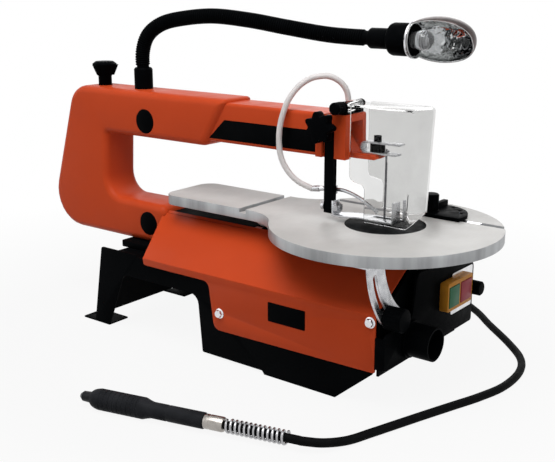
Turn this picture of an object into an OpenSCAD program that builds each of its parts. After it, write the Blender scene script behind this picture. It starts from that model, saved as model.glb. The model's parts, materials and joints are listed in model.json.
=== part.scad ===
// Benchtop scroll saw with tilting table, blade guard, blower, gooseneck lamp and flexible shaft.
// X runs from the C-frame's back to the operator, Y to the operator's right, Z up, in millimetres.
// The pieces are drawn with the blade on the Z axis and heights counted from the base's pan, and then
// shifted, so that the origin lies on the bench, at the centre of the four bench bolts.

/* [Table] */
// Height of the table's top face above the base's pan
table_z = 136; // [130:1:142]
// Thickness of the table's rim
table_t = 12; // [10:0.5:14]
// Radius of the round part of the table
table_r = 124; // [118:1:128]
// Half width of the table's rear tongue
tongue_half = 42; // [38:1:46]
// Distance from the blade to the tongue's end
tongue_len = 288; // [280:1:291]
// Radius of the tongue's end corners
tongue_corner = 18; // [10:1:24]
// Radius of the hollow blend between tongue and disc
blend_r = 60; // [40:1:70]
// Width of the mitre grooves
groove_w = 9; // [7:0.5:11]
// Depth of the mitre grooves
groove_d = 5; // [4:0.25:5.5]
// Distance of the cross groove behind the blade
groove_x = 162; // [155:1:170]
// Distance of the long groove right of the blade
groove_y = 62; // [58:1:70]
// Radius of the table insert
insert_r = 43; // [38:1:46]
// Thickness of the table insert
insert_t = 3; // [2:0.25:4]

/* [C-frame] */
// Throat depth from the blade to the frame's back
throat = 406; // [400:1:414]
// Height of the throat's upper edge
throat_top = 197; // [194:0.5:199]
// Height of the throat's lower edge
throat_bottom = 115; // [112:1:118]
// Half thickness of the C-frame's rear
frame_half = 27; // [25:0.5:30]
// Edge rounding of the C-frame's rear
frame_fillet = 9; // [6:0.5:10]
// Height of the C-frame's top
frame_top = 254; // [252:0.5:258]
// Height of the C-frame's bottom
frame_bottom = 64; // [62:0.5:66]
// Half width of the front arm
arm_half = 22; // [21:0.5:24]
// Height of the front arm's top
arm_top = 250; // [249:0.5:251.5]
// Height of the front arm's underside
arm_bottom = 203.5; // [202:0.5:204]
// Distance of the arm's front face behind the blade
arm_front = 36; // [34:0.5:37]

/* [Drive] */
// Distance from the blade to the arm pivots
pivot_x = 329; // [326:1:332]
// Height of the upper arm's pivot
upper_z = 218; // [217:0.5:219]
// Height of the lower arm's pivot
lower_z = 89; // [87:0.5:91]
// Radius of the pivot pins
pivot_r = 6; // [5:0.25:7]
// Half width of the rocking arms
rocker_half = 9; // [8:0.25:9.5]
// Radius of the black pivot caps
cap_r = 15; // [13:0.5:16]
// Distance from the blade to the tension rod
tension_x = 427; // [425:0.5:429]
// Radius of the tension rod
tension_r = 4; // [3:0.25:4.5]
// Radius of the crank's throw
crank_throw = 5.3; // [4.5:0.1:6]
// Distance of the motor's axis behind the blade
motor_x = 110; // [106:1:114]
// Height of the motor's axis
motor_z = 58; // [56:0.5:60]
// Radius of the motor's housing
motor_r = 45; // [41:0.5:46]
// Length of the motor's housing
motor_len = 100; // [90:1:104]
// Radius of the motor's shaft
shaft_r = 5; // [4:0.25:6]

/* [Base and covers] */
// Distance of the cover's wall from the blade's plane
cover_half = 85; // [83:0.5:88]
// Height of the cover's bend
cover_bend = 66; // [64:0.5:68]
// Thickness of the cover's sheet
cover_t = 1.5; // [1:0.1:2]
// Thickness of the base's sheet
base_t = 2; // [1.5:0.1:2.5]
// Spacing of the bench bolts along X
bolt_x = 334; // [330:1:338]
// Radius of the bench bolt holes
bolt_r = 4; // [3:0.25:5]
// Radius of the dust port's outside
port_r = 17.5; // [15:0.25:19]
// Wall of the dust port
port_wall = 2; // [1.5:0.1:3]

/* [Work zone] */
// Radius of the tilt bracket's outer edge
bracket_r = 114; // [112:0.5:116]
// Width of the tilt bracket's band
bracket_band = 28.5; // [26:0.5:30]
// Width of the tilt bracket's slot
slot_w = 7; // [6:0.25:9]
// Half width of the blade guard
guard_half = 21; // [20.5:0.25:23]
// Wall of the blade guard
guard_t = 2; // [1.5:0.1:2.5]
// Thickness of the hold-down post across the arm
post_t = 6; // [4:0.25:6.5]
// Width of the hold-down post
post_w = 12; // [9:0.5:13]
// Diameter of the star knob
star_d = 34; // [28:1:38]

/* [Lamp] */
// Outside radius of the gooseneck's ribs
neck_r = 9; // [7:0.25:10]
// Wall of the gooseneck
neck_wall = 2.5; // [2:0.25:3]
// Number of ribs on the gooseneck
neck_ribs = 120; // [80:1:130]
// Largest radius of the lamp's shade
shade_r = 23; // [20:0.5:26]
// Length of the lamp's shade
shade_len = 69; // [60:1:76]

/* [Flexible shaft] */
// Radius of the flexible shaft's casing
flex_r = 4.35; // [3.5:0.05:4.6]
// Radius of the handpiece's grip
grip_r = 10.9; // [9.5:0.1:12]
// Turns of the strain-relief spring
spring_turns = 13; // [8:1:14]

/* [Hidden] */
$fn = 64;

orange = "#c4502a";
black = "#15181a";
zinc = "#c9cdd0";
steel = "#9aa0a5";
castgrey = "#cbc9c6";
charcoal = "#2a2f33";

// Shared clearances: pieces that only lie side by side, running fits, and cuts that pass through
gap = 0.3;
run = 0.05;
past = 1;

// The blade stands ahead of the bolts' centre
saw_x = 217;
// The pan lies above the bench
lift = 34;
floor_z = -lift;
front_bolt = bolt_x / 2 - saw_x;
rear_bolt = -bolt_x / 2 - saw_x;

// Table
under_z = table_z - table_t;
web_t = 7;
rim_w = 8;
ledge = 7;
lug_r = 28;
lug_w = 8;

// C-frame
rocker_room = rocker_half + 3;
head_len = 38;
head_half = 25;
head_roof = 8;
channel_top = 232;
post_x = arm_front + 22;
post_in = head_half - 2.5;

// Base and covers
skirt_half = cover_half - cover_t;
skirt_top = cover_bend - 2;
arch_z = 38;
slope_in = 18;
slope_top = 109;
front_x = 44;
front_t = 2.5;
face_x = 55.5;
face_t = 2.5;
sheet_front = front_x;
rear_wall = -355;
pan_front = 33;
pan_rear = -135;
shelf_front = -293;
foot_front = -4;
foot_rear = -98;
leg_front = -347;
leg_rear = -373;
arch_rear = -318;
arch_front = -195;
bolt_in = 15.5;
bolt_y = 2 * (skirt_half - bolt_in);

// Drive
rod_y = rocker_half + 4;
rod_t = 6;
disc_y = rod_y + rod_t + gap;
disc_t = 6;
plate_y = disc_y + disc_t + gap;
motor_y = plate_y + front_t;
motor_end = motor_y + motor_len;
takeoff_len = 20;
nut_len = 22;
flex_y = motor_end + takeoff_len + gap;

// Tilt bracket, stud and knob
bracket_x = 48.5;
bracket_t = 3;
slot_edge = 10;
slot_r = bracket_r - slot_edge;
stud_angle = 43;
stud_y = -slot_r * cos(stud_angle);
stud_z = table_z - slot_r * sin(stud_angle);

// Blade and its holders
clip_z = 210;
clip_h = 13;
clip_t = 2;
pin_r = 1;
top_pin = clip_z + clip_t + pin_r + gap;
low_seat = 80;
low_pin = low_seat - pin_r - gap;

// Guard
hinge_x = -arm_front - 7.5;
hinge_z = arm_top + 7.5;
bolt_rad = 3;
boss_r = 6;
guard_top = hinge_z + 3.5;
guard_front = 43;
guard_left_z = 139;
guard_right_z = 150;

// Hold-down
foot_z = table_z + 5.2;
foot_t = 2;
post_bottom = foot_z + 2;
post_top = arm_top - 4;
star_z = 237.5;

// Lamp
lamp_x = -356;
sleeve_r = 11.5;
sleeve_h = 26;
head_x = -60;
head_y = 56;
head_z = 324;
collar_len = 27;
socket_len = 27;
socket_r = 16;
collar_r = 10;

// Handpiece, from the collet's tip towards the shaft
hand_tip = [-197.1, -256.7];
hand_turn = 14.2;
hand_z = floor_z + grip_r;
nut_l = 13;
grip_l = 68.6;
barrel_l = 60;
ferrule_l = 21.6;
spring_l = 67.5;
tail_l = 2 * flex_r;
tail_at = nut_l + grip_l + barrel_l + ferrule_l;
hand_end = tail_at + spring_l + tail_l;
hand_dir = [cos(hand_turn), sin(hand_turn)];

// Routes, points chosen by hand
neck_points = [
    [-356, 0, 276], [-356, 0, 298], [-347, 1, 319], [-327, 4, 333], [-300, 10, 340],
    [-257, 20, 344], [-209, 31, 340], [-163, 41, 333], [-110, 51, 326], [-60, 56, 324]
];
hose_points = [
    [-60, 16, 260], [-60, 16, 267], [-70, 13, 278], [-86, 2, 284], [-104, -14, 273],
    [-114, -28, 254], [-120, -31, 228], [-117, -31, 202], [-107, -28, 184], [-96, -22, 172],
    [-84, -17, 166]
];
nozzle_points = [
    [-72, -14, 167], [-58, -13.5, 168], [-43, -13, 168], [-26, -12, 163], [-10, -9, 154],
    [-4, -8, 149]
];
flex_points = [
    [-110, 184, 57.5], [-109, 201, 53.5], [-104.5, 220, 43], [-94, 239, 24], [-77, 254, 1],
    [-52, 261, -18], [-22, 250, -28], [7, 228, -29.5], [34.7, 199.8, -29.5], [80.4, 156.3, -29.5],
    [110.9, 120.4, -29.5], [125.1, 83.4, -29.5], [127.2, 39.8, -29.5], [118.5, 0.7, -29.5],
    [106.6, -34.2, -29.5], [94.6, -69, -29.5], [83.7, -101.6, -29.5], [72.8, -134.3, -29.5],
    [64.1, -161.5, -28.8], [53.2, -184.4, -25.4], [39.1, -196.3, -23.4]
];

// Unit vector
function unit(v) = v / norm(v);

// Point at parameter u on the smooth curve through the listed points
function knot(p, i) = p[max(0, min(len(p) - 1, i))];
function blend4(a, b, c, d, t) =
    0.5 * (2 * b + (c - a) * t + (2 * a - 5 * b + 4 * c - d) * t * t
    + (3 * b - a - 3 * c + d) * t * t * t);
function spline(p, u) =
    let (i = min(floor(u), len(p) - 2))
    blend4(knot(p, i - 1), knot(p, i), knot(p, i + 1), knot(p, i + 2), u - i);

// Running length along a fine walk of the curve, as pairs of length and parameter
function walk(p, n) = [for (i = [0 : n]) spline(p, i * (len(p) - 1) / n)];
function lengths(w) =
    [for (i = 0, s = 0; i < len(w); i = i + 1, s = i < len(w) ? s + norm(w[i] - w[i - 1]) : s) s];
function by_length(p, n) =
    let (s = lengths(walk(p, n)))
    [for (i = [0 : n]) [s[i], i * (len(p) - 1) / n]];

// Ring of n points round c, square to direction t, with its first point turned from ref
function ring(c, t, r, n, ref) =
    let (a = unit(cross(ref, t)), b = cross(t, a))
    [for (k = [0 : n - 1]) c + r * (cos(360 * k / n) * a + sin(360 * k / n) * b)];
function slope_at(p, u) =
    let (last = len(p) - 1, e = 0.02)
    unit(spline(p, min(last, u + e)) - spline(p, max(0, u - e)));

// Triangles of a plain outline, cut off corner by corner
function twice_area(a, b, c) = (b[0] - a[0]) * (c[1] - a[1]) - (b[1] - a[1]) * (c[0] - a[0]);
function holds(a, b, c, p) =
    twice_area(a, b, p) >= 0 && twice_area(b, c, p) >= 0 && twice_area(c, a, p) >= 0;
function is_ear(p, left, i) =
    let (n = len(left), a = (i + n - 1) % n, c = (i + 1) % n)
    twice_area(p[left[a]], p[left[i]], p[left[c]]) > 0
    && len([for (k = [0 : n - 1]) if (k != a && k != i && k != c
        && holds(p[left[a]], p[left[i]], p[left[c]], p[left[k]])) k]) == 0;
function first_ear(p, left, i) = i >= len(left) - 1 || is_ear(p, left, i) ? i : first_ear(p, left, i + 1);
function ears(p, left) = len(left) < 3 ? [] :
    let (n = len(left), i = first_ear(p, left, 0))
    concat([[left[(i + n - 1) % n], left[i], left[(i + 1) % n]]],
        ears(p, [for (k = [0 : n - 1]) if (k != i) left[k]]));

// Solid tube through a list of rings with equal counts, closed by the caps' triangles
function fan(n) = [for (k = [1 : n - 2]) [0, k, k + 1]];
module tube(rings, first, last) {
    n = len(rings[0]);
    m = len(rings);
    sides = [for (i = [0 : m - 2]) for (k = [0 : n - 1])
        let (a = i * n + k, b = i * n + (k + 1) % n) each [[a, a + n, b + n], [a, b + n, b]]];
    start = is_undef(first) ? fan(n) : first;
    end = [for (t = is_undef(last) ? fan(n) : last) (m - 1) * n * [1, 1, 1] + [t[2], t[1], t[0]]];
    polyhedron([for (q = rings) each q], concat(sides, start, end));
}

// Tube that closes on itself: rings go out on the outside and come back inside the bore
module bored_tube(rings) {
    n = len(rings[0]);
    m = len(rings);
    sides = [for (i = [0 : m - 1]) for (k = [0 : n - 1])
        let (j = (i + 1) % m, a = i * n + k, b = i * n + (k + 1) % n,
            c = j * n + (k + 1) % n, d = j * n + k) each [[a, d, c], [a, c, b]]];
    polyhedron([for (q = rings) each q], sides);
}

// Tube of one radius along a route, with a ring every step or so
module cord_tube(points, r, step, sides, ref) {
    table = by_length(points, 12 * len(points));
    total = table[len(table) - 1][0];
    count = ceil(total / step);
    tube([for (i = [0 : count])
        let (u = lookup(total * i / count, table))
        ring(spline(points, u), slope_at(points, u), r, sides, ref)]);
}

// Outline with rounded corners, from corners [x, y, radius] in turn, drawn in by inset
function turn_left(v) = [-v[1], v[0]];
function corner_dir(c, i) =
    let (n = len(c), a = c[(i + n) % n], b = c[(i + 1 + n) % n])
    unit([b[0] - a[0], b[1] - a[1]]);
function rounded(c, inset, n) = [for (i = [0 : len(c) - 1])
    let (
        u = corner_dir(c, i - 1),
        v = corner_dir(c, i),
        nu = turn_left(u),
        nv = turn_left(v),
        turn = atan2(u[0] * v[1] - u[1] * v[0], u * v),
        side = sign(turn),
        r = max(1, c[i][2] - side * inset),
        p = [c[i][0], c[i][1]] + inset * (nu + nv) / (1 + nu * nv),
        mid = p - u * r * tan(abs(turn) / 2) + nu * r * side
    )
    for (k = [0 : n]) mid - side * r * [nu[0] * cos(turn * k / n) - nu[1] * sin(turn * k / n),
        nu[0] * sin(turn * k / n) + nu[1] * cos(turn * k / n)]];

// Half shell body on the -Y side of the blade's plane, with a rounded outer edge
module half_body(corners, half, fillet, n) {
    levels = [[0, 0], for (a = [90, 72, 54, 36, 18, 0])
        [-half + fillet * (1 - cos(a)), fillet * (1 - sin(a))]];
    outlines = [for (q = levels) rounded(corners, q[1], n)];
    order = [for (k = [0 : len(outlines[0]) - 1]) k];
    tube([for (i = [0 : len(levels) - 1]) [for (p = outlines[i]) [p[0], levels[i][0], p[1]]]],
        ears(outlines[0], order), ears(outlines[len(levels) - 1], order));
}

// Extrusions of an (X, Z) outline along Y, of a (Y, Z) outline along X, and round bars
module slab_y(y0, y1) translate([0, y1, 0]) rotate([90, 0, 0]) linear_extrude(y1 - y0) children();
module slab_x(x0, x1) translate([x0, 0, 0]) rotate([90, 0, 90]) linear_extrude(x1 - x0) children();
module bar_x(y, z, r, x0, x1) translate([x0, y, z]) rotate([0, 90, 0]) cylinder(r = r, h = x1 - x0);
module bar_y(x, z, r, y0, y1) translate([x, y0, z]) rotate([-90, 0, 0]) cylinder(r = r, h = y1 - y0);
module bar_z(x, y, r, z0, z1) translate([x, y, z0]) cylinder(r = r, h = z1 - z0);
module block(a, b) translate(a) cube(b - a);
module both() {
    children();
    mirror([0, 1, 0]) children();
}
module saw(c) translate([saw_x, 0, lift]) color(c) children();

// Round knob along +Z with a ribbed rim
module ribbed_knob(r, h, ribs) {
    difference() {
        rotate_extrude() polygon([[0, 0], [r - 0.8, 0], [r, 0.8], [r, h - 1.2], [r - 1.2, h], [0, h]]);
        for (i = [0 : ribs - 1]) rotate(360 * i / ribs) bar_z(r + 0.5, 0, 1, -past, h - 2);
    }
}

// Base of bent sheet: two side walls with an arch, foot plates with bolt holes, and cross sheets
skirt_outline = [
    [foot_front, floor_z, 2], [40, 3, 4], [front_x, 12, 3], [front_x, skirt_top, 3],
    [shelf_front, skirt_top, 1], [shelf_front - 3, skirt_top + 3, 1], [rear_wall, skirt_top + 3, 3],
    [leg_rear, floor_z, 2], [leg_front, floor_z, 2], [arch_rear, arch_z, 12],
    [arch_front, arch_z, 12], [arch_front + 6, floor_z + 4, 2], [foot_rear - 3, floor_z + 4, 1],
    [foot_rear, floor_z, 1]
];
module foot_plate(x0, x1, bolt) difference() {
    block([x0, skirt_half - 2 * bolt_in, floor_z], [x1, skirt_half, floor_z + base_t]);
    bar_z(bolt, bolt_y / 2, bolt_r, floor_z - past, floor_z + base_t + past);
}
module base_frame() saw(black) difference() {
    union() {
        both() {
            slab_y(skirt_half - base_t, skirt_half) polygon(rounded(skirt_outline, 0, 5));
            foot_plate(min(foot_rear, front_bolt - 12), max(foot_front, front_bolt + 12), front_bolt);
            foot_plate(rear_bolt - 10, max(leg_front, rear_bolt + 10), rear_bolt);
        }
        block([pan_rear, -skirt_half, 0], [pan_front, skirt_half, base_t]);
        block([rear_wall, -skirt_half, -18], [rear_wall + base_t, skirt_half, pedestal_z]);
        block([rear_wall, -skirt_half, pedestal_z - base_t], [shelf_front, skirt_half, pedestal_z]);
    }
    bar_y(-motor_x, motor_z, motor_r + 1.5, skirt_half - 2 * base_t, skirt_half + past);
    for (x = screw_x) bar_y(x[0], x[1], screw_r + run, -cover_half - past, cover_half + past);
}
pedestal_z = 56;
screw_r = 2.5;
screw_x = [[-160, 24], [38, 59]];

// Pedestal that carries the C-frame
foot_w = 40;
module frame_pedestal() saw(black)
    translate([0, 0, pedestal_z]) linear_extrude(frame_bottom - pedestal_z)
    polygon(rounded([[rear_wall - 12, -foot_w, 4], [arch_rear, -foot_w, 4], [arch_rear, foot_w, 4],
        [rear_wall - 12, foot_w, 4]], 0, 5));

// Upright sheets across the base, with a saddle for the table's trunnion lug
module saddle_sheet(x0, x1, low, side_z, wing) {
    slab_x(x0, x1) difference() {
        polygon([[-skirt_half + base_t, low], [skirt_half - base_t, low], [skirt_half - base_t, side_z],
            [wing, slope_top - 10], [14, slope_top], [-14, slope_top], [-wing, slope_top - 10],
            [-skirt_half + base_t, side_z]]);
        translate([0, table_z]) circle(lug_r + gap);
    }
}
module front_plate() saw(black) difference() {
    union() {
        saddle_sheet(front_x, front_x + front_t, base_t, 62, 24);
        slab_x(front_x, front_x + front_t) union() {
            translate([stud_y, stud_z]) circle(2.5 * stud_r);
            translate([stud_y, stud_z - 2.5 * stud_r]) square([-lug_r - stud_y, 5 * stud_r]);
        }
    }
    bar_x(stud_y, stud_z, stud_r + run, front_x - past, front_x + 2 * front_t);
}
module table_cradle() saw(black) difference() {
    saddle_sheet(-groove_x + 6, -groove_x + 10, arch_z, 62, 24);
    block([-groove_x, -rocker_half - 2, 72], [-groove_x + 20, rocker_half + 2, 103]);
    bar_y(-motor_x, motor_z, motor_r + 1.5, motor_y - past, skirt_half);
}
module motor_plate() saw(black) difference() {
    union() {
        slab_y(plate_y, motor_y) polygon(rounded(
            [[-motor_x - 24, base_t, 1], [-55, base_t, 1], [-55, 80, 10], [-motor_x - 24, 80, 10]], 0, 5));
        block([-motor_x - 24, plate_y, base_t], [-55, plate_y + 20, 2 * base_t]);
    }
    bar_y(-motor_x, motor_z, disc_r + 1, plate_y - past, motor_y + past);
}
disc_r = 14;

// Covers of bent sheet: a wall, and a slope that leaves the tilted table room
slope_run = atan2(slope_top - cover_bend, cover_half - slope_in);
slope_n = [sin(slope_run), -cos(slope_run)];
bend_in = cover_t * tan((90 - slope_run) / 2);
sheet_profile = [
    [-cover_half, 0], [-cover_half, cover_bend], [-slope_in, slope_top],
    [-slope_in + cover_t * slope_n[0], slope_top + cover_t * slope_n[1]],
    [-cover_half + cover_t, cover_bend - bend_in], [-cover_half + cover_t, 0]
];
cover_outline = [
    [-280, 58, 4], [-177, 58, 9], [-169, 3, 9], [sheet_front, 6, 2],
    [sheet_front, slope_top + 5, 1], [-311, slope_top + 5, 1], [-281, cover_bend, 6]
];
module cover_sheet() difference() {
    intersection() {
        slab_x(-320, sheet_front + past) polygon(sheet_profile);
        slab_y(-cover_half - past, 0) polygon(rounded(cover_outline, 0, 5));
    }
    block([-330, -frame_half - gap, frame_bottom], [-300 + gap, 0, throat_bottom]);
}
module screw_holes() for (x = screw_x) bar_y(x[0], x[1], screw_r + run, -cover_half - past, 0);
module left_cover() saw(orange) difference() {
    cover_sheet();
    screw_holes();
}
module right_cover() saw(orange) mirror([0, 1, 0]) difference() {
    cover_sheet();
    screw_holes();
    bar_y(-motor_x, motor_z, motor_r + 1.5, -cover_half - past, 0);
}

// Front cover: a face with a low left side that shows the tilt bracket, and returns on three sides
face_left = 90;
face_right = 97;
face_bottom = 13;
shoulder_z = stud_z - 15;
face_outline = [
    [-face_left, face_bottom, 2], [face_right, face_bottom, 3], [face_right, 83, 9], [30, 96, 8],
    [-30, 100, 8], [-38, shoulder_z, 12], [-face_left, shoulder_z, 6]
];
module front_cover() saw(black) difference() {
    union() {
        slab_x(face_x, face_x + face_t) polygon(rounded(face_outline, 0, 5));
        block([front_x + front_t, -face_left, face_bottom + 2],
            [face_x, -face_left + face_t, shoulder_z - 4]);
        block([front_x + front_t, -face_left, face_bottom], [face_x, face_right, face_bottom + face_t]);
        block([front_x + front_t, face_right - face_t, face_bottom], [face_x, face_right, 74]);
    }
    bar_x(port_y, port_z, port_r - port_wall, face_x - past, face_x + face_t + past);
    bar_x(speed_y, speed_z, speed_shaft + run, face_x - past, face_x + face_t + past);
}
port_y = -40;
port_z = 33;
port_len = 29;
speed_y = 86;
speed_z = 56;
speed_shaft = 3;

// C-frame casting in two halves, hollow for the rocking arms and the tension rod
c_outline = [
    [-throat - 118, frame_bottom, 45], [-300, frame_bottom, 3], [-300, throat_bottom, 12],
    [-throat, throat_bottom, 26], [-throat + 5, throat_top, 4], [-233, throat_top, 12],
    [-198, frame_top, 4], [-throat - 57, frame_top, 32]
];
arm_outline = [
    [-250, arm_bottom, 1], [-arm_front, arm_bottom, 2], [-arm_front, arm_top, 3], [-250, arm_top, 1]
];
room_low = upper_z - 12;
room_high = arm_top - head_roof;
module arm_hollow() {
    r = rocker_room;
    block([-tension_x - 15, -r, room_low], [-arm_front - 20, r, room_high]);
    block([-arm_front - 34, -r - 0.5, arm_bottom - past], [-arm_front + past, r + 0.5, room_high]);
    block([-tension_x - 15, -r, lower_z - 15], [-300 + past, r, lower_z + 15]);
    block([-tension_x - 15, -r, lower_z], [-tension_x + 13, r, upper_z]);
    bar_z(-tension_x, 0, knob_neck + 0.8, upper_z, frame_top + past);
    for (z = [upper_z, lower_z]) {
        bar_y(-pivot_x, z, pivot_r + run, -frame_half - past, frame_half + past);
        for (s = [-1, 1]) translate([0, s * (frame_half - cap_t / 2), 0])
            bar_y(-pivot_x, z, cap_r + run, -cap_t / 2 - (s < 0 ? past : 0), cap_t / 2 + (s > 0 ? past : 0));
    }
    bar_z(lamp_x, 0, sleeve_r - 3, frame_top - lamp_seat, frame_top + past);
    bar_z(outlet_x, outlet_y, 2, room_high - past, arm_top + past);
}
cap_t = 3;
knob_neck = 8.5;
lamp_seat = 8;
outlet_x = -60;
outlet_y = 16;
module arm_casting_left() saw(orange) difference() {
    union() {
        half_body(c_outline, frame_half, frame_fillet, 8);
        half_body(arm_outline, arm_half, 4, 3);
        block([-arm_front - head_len, -head_half, arm_bottom], [-arm_front, -past, arm_top]);
    }
    arm_hollow();
    block([-post_x - post_w / 2 - gap, -post_in - gap, arm_bottom - past],
        [-post_x + post_w / 2 + gap, -post_in + post_t + gap, arm_top + past]);
    block([-post_x - post_w / 2 - 2, -head_half - past, arm_bottom - past],
        [-post_x + post_w / 2 + 2, -post_in + past, channel_top]);
    bar_y(-post_x, star_z, stud_r + run, -head_half - past, -post_in);
}
module arm_casting_right() saw(orange) difference() {
    mirror([0, 1, 0]) {
        half_body(c_outline, frame_half, frame_fillet, 8);
        half_body(arm_outline, arm_half, 4, 3);
    }
    arm_hollow();
}
stud_r = 3;

// Plugs that close the pivot bores, and the pins behind them
module pivot_caps() saw(black) for (z = [upper_z, lower_z]) both()
    translate([-pivot_x, -frame_half + cap_t, z]) rotate([90, 0, 0]) rotate_extrude()
    polygon([[0, 0], [cap_r, 0], [cap_r, cap_t], [cap_r - 2, cap_t + 0.8], [0, cap_t + 0.8]]);
module pivot_pins() saw(steel) for (z = [upper_z, lower_z])
    bar_y(-pivot_x, z, pivot_r, -frame_half + cap_t, frame_half - cap_t);

// Motor with a finned end bell, and the take-off collar for the flexible shaft
module motor_housing() saw(charcoal) difference() {
    translate([-motor_x, motor_y, motor_z]) rotate([-90, 0, 0]) {
        rotate_extrude() polygon([[0, 0], [motor_r - 4, 0], [motor_r, 4], [motor_r, motor_len * 0.62],
            [motor_r - 2, motor_len * 0.64], [motor_r - 2, motor_len - 14], [motor_r - 12, motor_len - 2],
            [20, motor_len], [0, motor_len]]);
    }
    bar_y(-motor_x, motor_z, shaft_r + run, motor_y - past, motor_end + past);
    for (i = [0 : 23]) translate([-motor_x, motor_end - 22, motor_z]) rotate([0, 15 * i, 0])
        block([-1.2, 0, 36], [1.2, 30, motor_r + past]);
}
module takeoff_collar() saw(zinc) difference() {
    bar_y(-motor_x, motor_z, 9, motor_end, motor_end + takeoff_len);
    bar_y(-motor_x, motor_z, shaft_r + run, motor_end - past, motor_end + takeoff_len + past);
}

// Rotor: shaft, crank disc and crank pin
module rotor() saw(steel) {
    bar_y(-motor_x, motor_z, shaft_r, disc_y + past, motor_end + takeoff_len - 4);
    bar_y(-motor_x, motor_z, disc_r, disc_y, disc_y + disc_t);
    bar_y(-motor_x + crank_throw, motor_z, crank_r, rod_y + 0.5, disc_y + past);
}
crank_r = 4;
wrist_r = 3;
module connecting_rod() saw(steel) difference() {
    slab_y(rod_y, rod_y + rod_t) union() {
        translate([-motor_x + crank_throw, motor_z]) circle(9);
        translate([-motor_x + crank_throw, lower_z]) circle(7);
        translate([-motor_x + crank_throw - 4, motor_z]) square([8, lower_z - motor_z]);
    }
    bar_y(-motor_x + crank_throw, motor_z, crank_r + run, rod_y - past, rod_y + rod_t + past);
    bar_y(-motor_x + crank_throw, lower_z, wrist_r + run, rod_y - past, rod_y + rod_t + past);
}

// Rocking arms, each a tapered bar with a pivot boss, a rod eye behind and a nose in front
module rocker_eye(z) {
    bar_y(-pivot_x, z, pivot_r + run, -rocker_room, rocker_room);
    bar_z(-tension_x, 0, tension_r + 0.6, z - 30, z + 30);
}
module lower_arm() saw(orange) difference() {
    union() {
        slab_y(-rocker_half, rocker_half) polygon([
            [-tension_x - 12, lower_z - 6], [-pivot_x, lower_z - 10], [-30, lower_z - 9], [-4, low_seat],
            [8, low_seat], [8, low_seat + 6], [-18, lower_z + 7], [-pivot_x, lower_z + 11],
            [-tension_x - 12, lower_z + 6]]);
        bar_y(-pivot_x, lower_z, 12, -rocker_room + gap, rocker_room - gap);
        bar_y(-motor_x + crank_throw, lower_z, wrist_r, 0, rod_y - gap);
    }
    rocker_eye(lower_z);
    block([-4, -1.2, low_seat - past], [8 + past, 1.2, lower_z + 10]);
}
module lower_blade_holder() saw(zinc) difference() {
    union() {
        block([-14, -rocker_half - 1.5, low_seat], [5, -rocker_half, low_seat + 8]);
        block([-14, rocker_half, low_seat], [5, rocker_half + 1.5, low_seat + 8]);
    }
    bar_y(-8, low_seat + 4, 1.5, -rocker_half - 3, rocker_half + 3);
}
module upper_arm() saw(orange) difference() {
    union() {
        slab_y(-rocker_half, rocker_half) polygon([
            [-tension_x - 12, upper_z - 6], [-pivot_x, upper_z - 9], [-arm_front - 36, upper_z - 2],
            [-arm_front - 10, arm_bottom + 1], [-10, arm_bottom + 1], [-6, arm_bottom + 3],
            [-10, clip_z], [-arm_front, clip_z], [-arm_front - 14, upper_z + 12],
            [-pivot_x, upper_z + 12], [-tension_x - 12, upper_z + 7]]);
        bar_y(-pivot_x, upper_z, 11, -rocker_room + gap, rocker_room - gap);
    }
    rocker_eye(upper_z);
    bar_z(-11, 0, screw_r + run, arm_bottom - past, clip_z + past);
}

// Blade clip: a strip bent into a U, forked at the blade, with a block and a screw through both
module blade_clip() saw(zinc) difference() {
    slab_y(-6, 6) union() {
        translate([-22.5, clip_z]) square([36, clip_t]);
        translate([-22.5, clip_z + clip_h - clip_t]) square([40, clip_t]);
        difference() {
            translate([-22.5, clip_z + clip_h / 2]) circle(clip_h / 2);
            translate([-22.5, clip_z + clip_h / 2]) circle(clip_h / 2 - clip_t);
            translate([-22.5, clip_z - past]) square(clip_h + 2 * past);
        }
    }
    block([-2, -1, clip_z - past], [30, 1, clip_z + clip_t + past]);
    bar_z(-11, 0, screw_r + run, clip_z - past, clip_z + clip_h + past);
}
module clip_block() saw(black) difference() {
    block([-17, -5, clip_z + clip_t], [-5, 5, clip_z + clip_h - clip_t]);
    bar_z(-11, 0, screw_r + run, clip_z, clip_z + clip_h);
}
module clip_screw() saw(black) difference() {
    union() {
        bar_z(-11, 0, screw_r, arm_bottom + 3, clip_z + clip_h + past);
        bar_z(-11, 0, 4, clip_z + clip_h, clip_z + clip_h + 6);
    }
    translate([-11, 0, clip_z + clip_h + 3]) cylinder(r = 2, h = 4, $fn = 6);
}

// Blade: a toothed strip with a cross pin at each end
blade_w = 2.6;
blade_t = 0.8;
tooth = 2;
module blade() saw("#3a3d40") {
    z0 = low_pin - 3;
    z1 = top_pin + 3;
    slab_y(-blade_t / 2, blade_t / 2) polygon([
        [-blade_w / 2, z0],
        for (z = [z0 + 12 : tooth : z1 - 14]) each [[blade_w / 2, z], [blade_w / 2 - 0.8, z + 0.4]],
        [blade_w / 2 - 0.8, z1], [-blade_w / 2, z1]]);
    for (z = [low_pin, top_pin]) bar_y(0, z, pin_r, -4, 4);
}

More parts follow.
